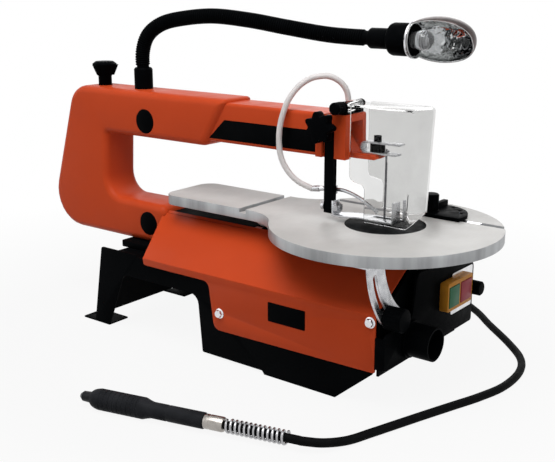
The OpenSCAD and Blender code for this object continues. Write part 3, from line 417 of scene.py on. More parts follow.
FINISHES: dict[Slot, Finish] = {
    Slot.ORANGE: PowderCoat("orange_paint_coat", (0.63, 0.073, 0.0185), (0.59, 0.067, 0.0168)),
    Slot.BLACK_SHEET: PowderCoat("black_sheet_coat", (0.0028, 0.0032, 0.0037), (0.0018, 0.0021, 0.0025),
                                 (0.38, 0.52), 0.16, 0.006),
    Slot.BLACK_PLASTIC: MouldedPlastic("black_moulding", (0.0022, 0.0026, 0.0031), (0.0014, 0.0017, 0.0021),
                                       shine=0.007),
    Slot.CHARCOAL: MouldedPlastic("charcoal_moulding", (0.022, 0.023, 0.026), (0.013, 0.014, 0.016),
                                  (0.36, 0.52), 0.16),
    Slot.ZINC: PlatedMetal("zinc_plate", (0.62, 0.625, 0.64), (0.44, 0.445, 0.465)),
    Slot.BRIGHT: PlatedMetal("bright_steel_ground", (0.80, 0.80, 0.82), (0.66, 0.66, 0.68), (0.12, 0.24)),
    Slot.BLADE: PlatedMetal("blade_steel_rolled", (0.20, 0.20, 0.21), (0.12, 0.12, 0.13), (0.30, 0.45),
                            (1.0, 1.0, 0.1)),
    # The table's last two tones are its rim's painted shade and painted highlight streaks.
    Slot.TABLE: GroundCasting("cast_table_ground", (0.59, 0.58, 0.565), (0.51, 0.50, 0.485),
                              (0.44, 0.45, 0.46), (0.25, 0.255, 0.26)),
    Slot.GUARD: ClearSheet("clear_guard_sheet", (0.79, 0.79, 0.785), (0.75, 0.75, 0.745), (0.05, 0.09),
                           1.0, 1.15),
    Slot.HOSE: ClearSheet("clear_hose_tube", (0.88, 0.84, 0.83), (0.82, 0.78, 0.77), (0.38, 0.46), 0.12),
    Slot.RUBBER: MouldedPlastic("black_rubber_skin", (0.0055, 0.0058, 0.0062), (0.0035, 0.0038, 0.0042),
                                (0.52, 0.68), 0.22),
    Slot.BULB: ClearSheet("bulb_glass_shell", (0.95, 0.96, 0.97), (0.90, 0.91, 0.93), (0.01, 0.04), 0.92),
    Slot.YELLOW: MouldedPlastic("yellow_moulding", (0.70, 0.29, 0.030), (0.61, 0.25, 0.025), shine=0.15),
    Slot.GREEN: MouldedPlastic("green_moulding", (0.066, 0.215, 0.115), (0.054, 0.18, 0.098), shine=0.10),
    Slot.RED: MouldedPlastic("red_moulding", (0.44, 0.082, 0.104), (0.38, 0.070, 0.088), shine=0.10),
}
SHADE_OUTSIDE = PlatedMetal("shade_outside_lacquer", (0.085, 0.066, 0.064), (0.052, 0.041, 0.040),
                            (0.24, 0.38))
REFLECTOR = PlatedMetal("shade_reflector_chrome", (0.56, 0.57, 0.57), (0.38, 0.39, 0.39), (0.04, 0.10),
                        (1.0, 1.0, 1.0), (75.0, 0.55, 0.004))
BLACK_OXIDE = PlatedMetal("black_oxide_steel", (0.026, 0.027, 0.029), (0.016, 0.017, 0.018), (0.28, 0.42))
FERRULE = PlatedMetal("ferrule_nickel", (0.43, 0.405, 0.375), (0.31, 0.29, 0.27), (0.18, 0.30))
STRIPE = MouldedPlastic("stripe_film", (0.0022, 0.0025, 0.0029), (0.0015, 0.0018, 0.0021), (0.24, 0.34),
                        0.05, 0.007)
SPRING_WIRE = PlatedMetal("spring_wire_drawn", (0.46, 0.46, 0.47), (0.34, 0.34, 0.35), (0.16, 0.28))
LABEL = PlatedMetal("label_film_silver", (0.78, 0.78, 0.79), (0.70, 0.70, 0.71), (0.30, 0.42),
                    (1.0, 9.0, 1.0))


class Paints:
    """Materials made once each from their finishes."""

    def __init__(self) -> None:
        """Starts with no material made."""
        self._made: dict[str, bpy.types.Material] = {}

    def of(self, finish: Union[Finish, Slot]) -> bpy.types.Material:
        """Material of a finish or of a record's slot.

        Args:
            finish: The finish, or the slot whose finish is wanted.

        Returns:
            The material, made on first use.
        """
        wanted = FINISHES[finish] if isinstance(finish, Slot) else finish
        if wanted.name not in self._made:
            self._made[wanted.name] = wanted.build()
        return self._made[wanted.name]


def new_object(name: str, mesh: bpy.types.Mesh) -> bpy.types.Object:
    """Links a mesh into the scene as an object at the origin.

    Args:
        name: Name of the object.
        mesh: Its mesh, in the shared frame.

    Returns:
        The object.
    """
    obj = bpy.data.objects.new(name, mesh)
    bpy.context.scene.collection.objects.link(obj)
    return obj


def mesh_of(name: str, build: Solid, angle: float = SHARP_ANGLE) -> bpy.types.Mesh:
    """Turns a bmesh into a mesh that is smooth except at its sharp edges.

    Args:
        name: Name of the mesh.
        build: The bmesh, which is freed.
        angle: Edges sharper than this stay sharp, in degrees.

    Returns:
        The mesh.
    """
    bmesh.ops.recalc_face_normals(build, faces=build.faces)
    mesh = bpy.data.meshes.new(name)
    build.to_mesh(mesh)
    build.free()
    mesh.shade_smooth()
    mesh.set_sharp_from_angle(angle=math.radians(angle))
    return mesh


def frame_on(origin: Vector, axis: Vector, side: Vector) -> Matrix:
    """Local frame whose z runs along an axis.

    Args:
        origin: Its origin in metres.
        axis: Direction of its z.
        side: Direction its x leans to.

    Returns:
        The frame's matrix.
    """
    z = axis.normalized()
    x = (side - z * side.dot(z)).normalized()
    y = z.cross(x)
    turn = Matrix((x, y, z)).transposed().to_4x4()
    return Matrix.Translation(origin) @ turn


def turned(radius: float, angle: float) -> tuple[float, float]:
    """Point of a circle.

    Args:
        radius: Its radius.
        angle: Angle of the point in radians.

    Returns:
        The point's two coordinates.
    """
    return radius * math.cos(angle), radius * math.sin(angle)


def skin(build: Solid, rings: Sequence[Ring], caps: bool) -> None:
    """Joins rings of points by faces.

    Args:
        build: The bmesh that holds the points.
        rings: Rings in order, where a ring of one point is a tip.
        caps: Whether the first and the last ring are closed by a face.
    """
    steps = max(len(ring) for ring in rings)
    for low, high in zip(rings, rings[1:]):
        for k in range(steps):
            after = k + 1
            corners = (low[k % len(low)], low[after % len(low)], high[after % len(high)], high[k % len(high)])
            face = list(dict.fromkeys(corners))
            if len(face) > 2:
                build.faces.new(face)
    if caps:
        build.faces.new(rings[0])
        build.faces.new(rings[-1])


def lathe(profile: Outline, place: Matrix, steps: int = 48) -> Solid:
    """Turned body, closed where its profile meets the axis.

    Args:
        profile: Pairs of radius and height in millimetres, from one end to the other.
        place: Frame the body stands in.
        steps: Faces round it.

    Returns:
        The body as a bmesh.
    """
    build = bmesh.new()
    rings: list[Ring] = []
    for radius, height in profile:
        count = 1 if radius < TIP_RADIUS else steps
        points = [Vector((*turned(radius, math.tau * k / steps), height)) * MM for k in range(count)]
        rings.append([build.verts.new(place @ point) for point in points])
    skin(build, rings, caps=False)
    return build


def smooth_path(points: Sequence[Point], steps: int) -> list[Vector]:
    """Walk along the smooth curve through the given points.

    Args:
        points: Points of the route in the saw's millimetres.
        steps: Steps from each point to the next.

    Returns:
        Points in metres.
    """
    knots = [at(*p) for p in points]
    walk: list[Vector] = []
    for i in range(len(knots) - 1):
        a, b, c, d = (knots[max(0, min(len(knots) - 1, i + k))] for k in (-1, 0, 1, 2))
        for s in range(steps):
            t = s / steps
            walk.append(0.5 * (2 * b + (c - a) * t + (2 * a - 5 * b + 4 * c - d) * t ** 2
                               + (3 * b - a - 3 * c + d) * t ** 3))
    return walk + [knots[-1]]


def length_of(walk: Sequence[Vector]) -> float:
    """Length of a walk in metres."""
    return sum((b - a).length for a, b in zip(walk, walk[1:]))


def evenly(walk: Sequence[Vector], count: int) -> list[tuple[Vector, Vector]]:
    """Places spread evenly over a walk.

    Args:
        walk: Points of the walk.
        count: How many places, with both ends among them.

    Returns:
        Pairs of a place and the direction there.
    """
    total = length_of(walk)
    places: list[tuple[Vector, Vector]] = []
    i, run = 0, 0.0
    for k in range(count):
        want = total * k / (count - 1)
        while i < len(walk) - 2 and run + (walk[i + 1] - walk[i]).length < want:
            run += (walk[i + 1] - walk[i]).length
            i += 1
        step = walk[i + 1] - walk[i]
        places.append((walk[i] + step * min(1.0, (want - run) / step.length), step.normalized()))
    return places


def swept(walk: Sequence[Vector], radius: float, sides: int) -> Solid:
    """Round bar along a walk, closed at both ends.

    Args:
        walk: Points of its centre line in metres.
        radius: Radius in millimetres.
        sides: Faces round it.

    Returns:
        The bar as a bmesh.
    """
    build = bmesh.new()
    side = (walk[1] - walk[0]).orthogonal().normalized()
    spokes = [turned(1.0, math.tau * k / sides) for k in range(sides)]
    rings: list[Ring] = []
    for i, place in enumerate(walk):
        along = (walk[min(i + 1, len(walk) - 1)] - walk[max(i - 1, 0)]).normalized()
        side = (side - along * side.dot(along)).normalized()
        across = along.cross(side)
        rings.append([build.verts.new(place + radius * MM * (a * side + b * across)) for a, b in spokes])
    skin(build, rings, caps=True)
    return build


def plate(outline: Outline, place: Matrix, thick: float, edge: float) -> Solid:
    """Thin plate with eased edges on its outer side.

    Args:
        outline: Corners in the plate's own plane, in millimetres.
        place: Frame whose z leaves the carrying face.
        thick: Thickness in millimetres.
        edge: Width of the eased edge in millimetres.

    Returns:
        The plate as a bmesh.
    """
    build = bmesh.new()
    verts = [build.verts.new(place @ (Vector((x, y, 0.0)) * MM)) for x, y in outline]
    base = build.faces.new(verts)
    up = bmesh.ops.extrude_face_region(build, geom=[base])["geom"]
    lifted = [v for v in up if isinstance(v, bmesh.types.BMVert)]
    bmesh.ops.translate(build, verts=lifted, vec=place.to_3x3() @ Vector((0.0, 0.0, thick * MM)))
    top = [e for e in build.edges if all(v in lifted for v in e.verts)]
    bmesh.ops.bevel(build, geom=top, offset=edge * MM, segments=2, affect="EDGES", profile=0.5)
    return build


def rounded(corners: Outline, radius: float, steps: int = 5) -> list[tuple[float, float]]:
    """Outline with its corners rounded.

    Args:
        corners: Corners in order.
        radius: Distance from a corner where its rounding starts.
        steps: Points on each rounding.

    Returns:
        The rounded outline.
    """
    out: list[tuple[float, float]] = []
    count = len(corners)
    for i, corner in enumerate(corners):
        here = Vector(corner)
        before = here + (Vector(corners[i - 1]) - here).normalized() * radius
        after = here + (Vector(corners[(i + 1) % count]) - here).normalized() * radius
        for s in range(steps + 1):
            t = s / steps
            p = before * (1 - t) ** 2 + here * 2 * t * (1 - t) + after * t ** 2
            out.append((p.x, p.y))
    return out


class Repeater:
    """Geometry Nodes group that stands one item on every point of a mesh."""

    def __init__(self) -> None:
        """Builds the group."""
        self.tree = bpy.data.node_groups.new("repeat_on_points", "GeometryNodeTree")
        face = self.tree.interface
        face.new_socket("Places", in_out="INPUT", socket_type="NodeSocketGeometry")
        self.item = face.new_socket("Item", in_out="INPUT", socket_type="NodeSocketObject").identifier
        self.finish = face.new_socket("Finish", in_out="INPUT", socket_type="NodeSocketMaterial").identifier
        face.new_socket("Pieces", in_out="OUTPUT", socket_type="NodeSocketGeometry")
        given = node_in(self.tree, "NodeGroupInput", {})
        source = node_in(self.tree, "GeometryNodeObjectInfo", {"Object": given.outputs["Item"]})
        turn = node_in(self.tree, "GeometryNodeInputNamedAttribute", {"Name": "turn"},
                       data_type="FLOAT_VECTOR")
        euler = node_in(self.tree, "FunctionNodeEulerToRotation", {"Euler": turn.outputs["Attribute"]})
        stand = node_in(self.tree, "GeometryNodeInstanceOnPoints", {
            "Points": given.outputs["Places"], "Instance": source.outputs["Geometry"],
            "Rotation": euler.outputs["Rotation"]})
        real = node_in(self.tree, "GeometryNodeRealizeInstances", {"Geometry": stand.outputs["Instances"]})
        paint = node_in(self.tree, "GeometryNodeSetMaterial", {
            "Geometry": real.outputs["Geometry"], "Material": given.outputs["Finish"]})
        node_in(self.tree, "NodeGroupOutput", {"Pieces": paint.outputs["Geometry"]})

    def stand(self, name: str, item: bpy.types.Mesh, places: Sequence[Matrix],
              finish: bpy.types.Material) -> bpy.types.Object:
        """Stands an item on each place and keeps the result as one plain object.

        Args:
            name: Name of the result.
            item: Mesh of the item in its own frame.
            places: Frames the item is set in.
            finish: Material of the result.

        Returns:
            The finished object at the origin.
        """
        points = bpy.data.meshes.new(name + "_places")
        points.from_pydata([tuple(m.translation) for m in places], [], [])
        turn = points.attributes.new("turn", "FLOAT_VECTOR", "POINT")
        turn.data.foreach_set("vector", [a for m in places for a in m.to_euler()])
        carrier = new_object(name + "_carrier", points)
        model = new_object(name + "_item", item)
        modifier = carrier.modifiers.new("repeat", "NODES")
        modifier.node_group = self.tree
        modifier[self.item] = model
        modifier[self.finish] = finish
        graph = bpy.context.evaluated_depsgraph_get()
        mesh = bpy.data.meshes.new_from_object(carrier.evaluated_get(graph), depsgraph=graph)
        carrier.modifiers.remove(modifier)
        bpy.data.objects.remove(carrier)
        bpy.data.objects.remove(model)
        mesh.name = name
        return new_object(name, mesh)


class Dresser:
    """Gives pieces their material and their body, and hides the CAD nodes they stand for."""

    def __init__(self, paints: Paints) -> None:
        """Keeps the materials to hand.

        Args:
            paints: Materials by finish.
        """
        self.paints = paints
        self.made: list[bpy.types.Object] = []

    def piece(self, name: str, build: Solid, slot: Slot, body: Body,
              finish: Union[Finish, None] = None, replaces: Iterable[str] = ()) -> bpy.types.Object:
        """Finishes a bmesh as a piece that rides on a body.

        Args:
            name: Name of the piece.
            build: Its bmesh, which is freed.
            slot: The record's slot it takes its finish from.
            body: Body it rides on.
            finish: A finish of its own in place of the slot's.
            replaces: CAD nodes it stands for.

        Returns:
            The piece.
        """
        obj = new_object(name, mesh_of(name, build))
        obj.data.materials.append(self.paints.of(finish or slot))
        return self.set(obj, slot, body, replaces)

    def piece_between(self, name: str, build: Solid, slot: Slot, replaces: Iterable[str],
                      bodies: tuple[Body, Body], ends: tuple[Vector, Vector]) -> bpy.types.Object:
        """Finishes a bmesh as a piece that rides on no body, its place baked into its mesh.

        Args:
            name: Name of the piece.
            build: Its bmesh, which is freed.
            slot: The record's slot.
            replaces: CAD nodes it stands for.
            bodies: Not used.
            ends: Not used.

        Returns:
            The piece.
        """
        obj = new_object(name, mesh_of(name, build))
        obj.data.materials.append(self.paints.of(slot))
        self.set(obj, slot, None, replaces)
        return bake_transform(obj)

    def set(self, obj: bpy.types.Object, slot: Slot, body: Union[Body, None],
            replaces: Iterable[str] = ()) -> bpy.types.Object:
        """Hangs a piece on its body and hides the nodes it stands for.

        Args:
            obj: The piece.
            slot: Not used.
            body: Body it rides on, or none.
            replaces: CAD nodes it stands for.

        Returns:
            The piece.
        """
        nodes = tuple(replaces)
        if nodes:
            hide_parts(*nodes)
        if body is not None:
            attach(obj, body.value)
        self.made.append(obj)
        return obj


@dataclass(frozen=True)
class Studio:
    """Camera at the photograph's view, a white floor and plain soft light."""

    eye: Point = (0.71093, -0.82084, 0.41899)
    tilt: float = 74.884
    heading: float = 37.867
    lens: float = 60.27
    sensor: float = 36.0
    sight: float = 50.0
    room: float = 0.16
    fade: tuple[float, float, float, float] = (0.30, 0.75, 0.91, 1.0)
    floor_size: float = 6.0
    floor_tone: float = 0.45
    floor_rough: float = 0.9
    lamps: tuple[tuple[str, Point, Point, float, float], ...] = (
        ("key", (0.20, -0.72, 1.75), (0.05, 0.0, 0.15), 1.4, 26.0),
        ("side_fill", (-1.15, -1.25, 0.85), (0.0, 0.0, 0.15), 1.2, 2.5),
        ("front_fill", (1.45, -0.15, 0.75), (0.1, 0.0, 0.15), 1.0, 3.0),
        ("back_fill", (-0.4, 1.5, 1.0), (0.0, 0.0, 0.15), 1.2, 5.0))

    def build(self) -> None:
        """Makes the camera, the floor, the surroundings and the lamps."""
        self._camera()
        self._world()
        self._floor()
        for lamp in self.lamps:
            self._light(*lamp)

    def _camera(self) -> None:
        """Sets the camera up."""
        data = bpy.data.cameras.new("view")
        data.sensor_fit = "HORIZONTAL"
        data.sensor_width = self.sensor
        data.lens = self.lens
        data.clip_end = self.sight
        camera = bpy.data.objects.new("view", data)
        camera.location = self.eye
        camera.rotation_euler = (math.radians(self.tilt), 0.0, math.radians(self.heading))
        bpy.context.scene.collection.objects.link(camera)
        bpy.context.scene.camera = camera
        bpy.context.scene.view_settings.view_transform = "Standard"

    def _white_to_view(self, tree: bpy.types.NodeTree) -> Socket:
        """Tells the rays that show a surface from those that bring its light.

        Args:
            tree: Node tree of the surface.

        Returns:
            One for rays that show the surface itself or its mirror image, nought for light.
        """
        path = node_in(tree, "ShaderNodeLightPath", {})
        total = path.outputs["Is Camera Ray"]
        for name in ("Is Glossy Ray", "Is Transmission Ray"):
            more = node_in(tree, "ShaderNodeMath", {0: total, 1: path.outputs[name]}, operation="MAXIMUM")
            total = more.outputs["Value"]
        return total

    def _world(self) -> None:
        """Makes white surroundings that light the object more softly than they look."""
        world = bpy.data.worlds.new("studio")
        bpy.context.scene.world = world
        world.use_nodes = True
        tree = world.node_tree
        shown = tree.nodes["Background"]
        feed(shown.inputs["Color"], WHITE)
        feed(shown.inputs["Strength"], 1.0)
        light = node_in(tree, "ShaderNodeBackground", {"Color": WHITE, "Strength": self.room})
        mix = node_in(tree, "ShaderNodeMixShader", {
            "Fac": self._white_to_view(tree), 1: light.outputs["Background"], 2: shown.outputs["Background"]})
        feed(tree.nodes["World Output"].inputs["Surface"], mix.outputs["Shader"])

    def _floor(self) -> None:
        """Makes the pale floor under the saw, which turns white away from it."""
        build = bmesh.new()
        bmesh.ops.create_grid(build, x_segments=4, y_segments=4, size=self.floor_size)
        floor = new_object("floor", mesh_of("floor", build))
        graph = ShaderGraph("floor_white")
        graph.put("Base Color", (self.floor_tone, self.floor_tone, self.floor_tone))
        graph.put("Roughness", self.floor_rough)
        graph.put("Specular IOR Level", 0.0)
        tree = graph.tree
        glow = node_in(tree, "ShaderNodeEmission", {"Strength": 1.0})
        reach = node_in(tree, "ShaderNodeVectorMath", {0: graph.coords.outputs["Object"]}, operation="LENGTH")
        ends = dict(zip(RANGE_INPUTS, self.fade))
        fade = node_in(tree, "ShaderNodeMapRange", {"Value": reach.outputs["Value"], **ends})
        share = node_in(tree, "ShaderNodeMath", {
            0: self._white_to_view(tree), 1: fade.outputs["Result"]}, operation="MULTIPLY")
        both = node_in(tree, "ShaderNodeMixShader", {
            "Fac": share.outputs["Value"], 1: graph.shader.outputs["BSDF"], 2: glow.outputs["Emission"]})
        feed(tree.nodes["Material Output"].inputs["Surface"], both.outputs["Shader"])
        floor.data.materials.append(graph.material)

    def _light(self, name: str, place: Point, aim: Point, size: float, power: float) -> None:
        """Hangs one soft square lamp.

        Args:
            name: Name of the lamp.
            place: Where it hangs.
            aim: Point it faces.
            size: Side of the square in metres.
            power: Power in watts.
        """
        data = bpy.data.lights.new(name, "AREA")
        data.shape = "SQUARE"
        data.size = size
        data.energy = power
        lamp = bpy.data.objects.new(name, data)
        lamp.location = place
        lamp.rotation_euler = (Vector(aim) - Vector(place)).to_track_quat("-Z", "Y").to_euler()
        bpy.context.scene.collection.objects.link(lamp)


@dataclass(frozen=True)
class SubAssembly:
    """Group of pieces that is made together.

    Attributes:
        dresser: Finishes and places the pieces.
        repeater: Stands repeated items.
    """

    dresser: Dresser
    repeater: Repeater


@dataclass(frozen=True)
class FlexibleShaft(SubAssembly):
    """Flexible shaft from the motor's take-off to the handpiece on the floor."""

    exit: Point = (-110.0, 170.4, 58.0)
    route: tuple[Point, ...] = (
        (-110, 184, 57.5), (-109, 201, 53.5), (-104.5, 220, 43), (-94, 239, 24), (-77, 254, 1),
        (-52, 261, -18), (-22, 250, -28), (7, 228, -29.5), (34.7, 199.8, -29.5), (80.4, 156.3, -29.5),
        (110.9, 120.4, -29.5), (125.1, 83.4, -29.5), (127.2, 39.8, -29.5), (118.5, 0.7, -29.5),
        (106.6, -34.2, -29.5), (94.6, -69, -29.5), (83.7, -101.6, -29.5), (72.8, -134.3, -29.5),
        (64.1, -161.5, -28.8), (53.2, -184.4, -25.4), (39.1, -196.3, -23.4))
    end: Point = (34.69, -198.05, -23.1)
    radius: float = 4.35
    nut_radius: float = 11.0
    nut_length: float = 22.0
    knurls: int = 72
    knurl_depth: float = 0.7
    tip: Point = (-197.1, -256.7, -23.1)
    aim: Point = (0.96945, 0.24531, 0.0)
    tail: tuple[float, ...] = (230.0, 213.0, 196.0, 179.0, 162.5)
    nose: Outline = ((0, 13.2), (7.0, 13.2), (8.9, 15.8), (10.1, 19.0), (10.9, 22.8))
    groove: Outline = ((10.9, 0.0), (10.5, 0.4), (10.5, 1.2), (10.9, 1.6))
    groove_count: int = 9
    groove_start: float = 26.0
    groove_pitch: float = 5.4
    barrel: Outline = (
        (10.9, 74.0), (10.45, 75.6), (9.15, 79.4), (8.7, 81.6), (8.15, 83.8), (8.15, 100.1), (7.8, 100.7),
        (7.8, 102.3), (8.15, 102.8), (8.15, 140.6), (7.7, 141.7), (0, 141.7))
    ferrule: Outline = (
        (0, 141.7), (6.85, 141.7), (7.4, 142.5), (7.4, 145.8), (6.95, 146.3), (6.95, 147.6), (7.4, 148.0),
        (7.4, 161.0), (6.85, 162.4), (5.4, 163.2), (0, 163.2))
    spring_radius: float = 6.1
    spring_wire: float = 1.3
    spring_turns: int = 13
    spring_start: float = 165.8
    spring_pitch: float = 4.79
    spring_steps: int = 24

    def build(self) -> None:
        """Makes the casing, its nut, the strain-relief spring and the handpiece."""
        nut = self._nut()
        hand = self._handpiece()
        spring = self._spring()
        walk = smooth_path([self.exit, *self.route, self.end], steps=8)
        walk += [self._hand_frame() @ Vector((0, 0, h * MM)) for h in self.tail]
        bar = swept(walk, self.radius, sides=20)
        casing = self.dresser.piece("flex_casing", bar, Slot.CHARCOAL, Body.FRAME,
                                    finish=FINISHES[Slot.RUBBER], replaces=("flex_shaft",))
        log.info("flexible shaft %.3f m", length_of(walk))

    def _nut(self) -> bpy.types.Object:
        """Makes the knurled coupling nut on the take-off collar.

        Returns:
            The nut.
        """
        x, y, z = self.exit
        place = frame_on(at(x, y - self.nut_length, z), Vector((0, 1, 0)), Vector((0, 0, 1)))
        r, h = self.nut_radius, self.nut_length
        build = lathe([(0, 0), (r - 1.2, 0), (r - 0.2, 1.0), (r - 0.2, h - 8), (r - 1.2, h - 6.5),
                       (r - 3.5, h - 3), (r - 5.6, h), (0, h)], place, self.knurls)
        for vert in build.verts:
            local = place.inverted() @ vert.co
            reach = math.hypot(local.x, local.y) / MM
            if reach > r - 0.5 and round(math.atan2(local.y, local.x) / math.tau * self.knurls) % 2:
                kept = 1 - self.knurl_depth / reach
                vert.co = place @ Vector((local.x * kept, local.y * kept, local.z))
        return self.dresser.piece("coupling_nut", build, Slot.CHARCOAL, Body.FRAME)

    def _hand_frame(self) -> Matrix:
        """Returns the handpiece's frame, whose z runs from its tip to its tail."""
        return frame_on(at(*self.tip), Vector(self.aim), Vector((0, 0, 1)))

    def _handpiece(self) -> list[bpy.types.Object]:
        """Makes the grip with its grooves and barrel, and the nickel ferrule.

        Returns:
            The grip and the ferrule.
        """
        place = self._hand_frame()
        starts = [self.groove_start + self.groove_pitch * k for k in range(self.groove_count)]
        grooves = [(radius, start + height) for start in starts for radius, height in self.groove]
        grip = lathe([*self.nose, *grooves, *self.barrel], place)
        body = self.dresser.piece("handpiece_body", grip, Slot.CHARCOAL, Body.FRAME, replaces=("handpiece",))
        ferrule = self.dresser.piece("handpiece_ferrule", lathe(self.ferrule, place), Slot.BRIGHT, Body.FRAME,
                                     finish=FERRULE)
        return [body, ferrule]

    def _spring(self) -> bpy.types.Object:
        """Makes the round-wire spring that guards the casing where it enters the handpiece.

        Returns:
            The spring.
        """
        place = self._hand_frame()
        walk = []
        for i in range(self.spring_turns * self.spring_steps + 1):
            angle = math.tau * i / self.spring_steps
            height = self.spring_start + self.spring_pitch * i / self.spring_steps
            walk.append(place @ (Vector((*turned(self.spring_radius, angle), height)) * MM))
        return self.dresser.piece("strain_spring", swept(walk, self.spring_wire, sides=10), Slot.ZINC,
                                  Body.FRAME, finish=SPRING_WIRE, replaces=("flex_spring",))


@dataclass(frozen=True)
class BlowerLine(SubAssembly):
    """Dust blower: bellows in the arm and the clear hose down to the nozzle."""

    hose: tuple[Point, ...] = (
        (-60, 16, 260), (-62, 14.6, 271), (-67.7, 10.8, 279.9), (-76, 5.2, 285.1), (-84.5, -0.6, 285.8),
        (-95, -8.4, 282.4), (-104.8, -17, 272.8), (-112.8, -25, 256), (-118, -30, 230), (-117, -30.8, 204),
        (-110, -28, 186), (-98.5, -22.8, 173), (-84, -17, 166))
    held: tuple[Point, Point] = ((-66, 10, 252), (-90, -20, 172))
    radius: float = 3.2
    folds: int = 4
    foot_radius: float = 10.4
    crest_radius: float = 11.0
    valley: Outline = ((10.2, 0.25), (9.1, 0.5), (10.2, 0.75))
    last_radius: float = 10.0
    top_radius: float = 9.4
    edge: float = 0.5

    def build(self) -> None:
        """Makes the hose and the bellows."""
        self._hose()
        self._bellows()

    def _hose(self) -> None:
        """Makes the clear hose that runs from the frame to the hold-down post."""
        walk = smooth_path(self.hose, steps=10)
        start, end = (at(*point) for point in self.held)
        hose = self.dresser.piece_between("blower_tube", swept(walk, self.radius, sides=20), Slot.HOSE,
                                          ("blower_hose",), (Body.FRAME, Body.HOLD_DOWN), (start, end))
        log.info("blower hose %.3f m", length_of(walk))

    def _bellows(self) -> None:
        """Makes the folded bellows between the upper arm and the frame."""
        low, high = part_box("blower_bellows")
        tall = (high.z - low.z) / MM
        pitch = (tall - 2 * self.edge) / self.folds
        outline = [(0, 0), (self.foot_radius, 0), (self.crest_radius, self.edge)]
        for k in range(self.folds):
            base = self.edge + pitch * k
            outline += [(radius, base + share * pitch) for radius, share in self.valley]
            outline.append((self.crest_radius if k < self.folds - 1 else self.last_radius, base + pitch))
        outline += [(self.top_radius, tall), (0, tall)]
        centre = Vector(((low.x + high.x) / 2, (low.y + high.y) / 2, low.z))
        build = lathe(outline, Matrix.Translation(centre))
        self.dresser.piece_between("bellows_folds", build, Slot.RUBBER, ("blower_bellows",),
                                   (Body.UPPER_ARM, Body.FRAME), (centre, centre + Vector((0, 0, tall * MM))))


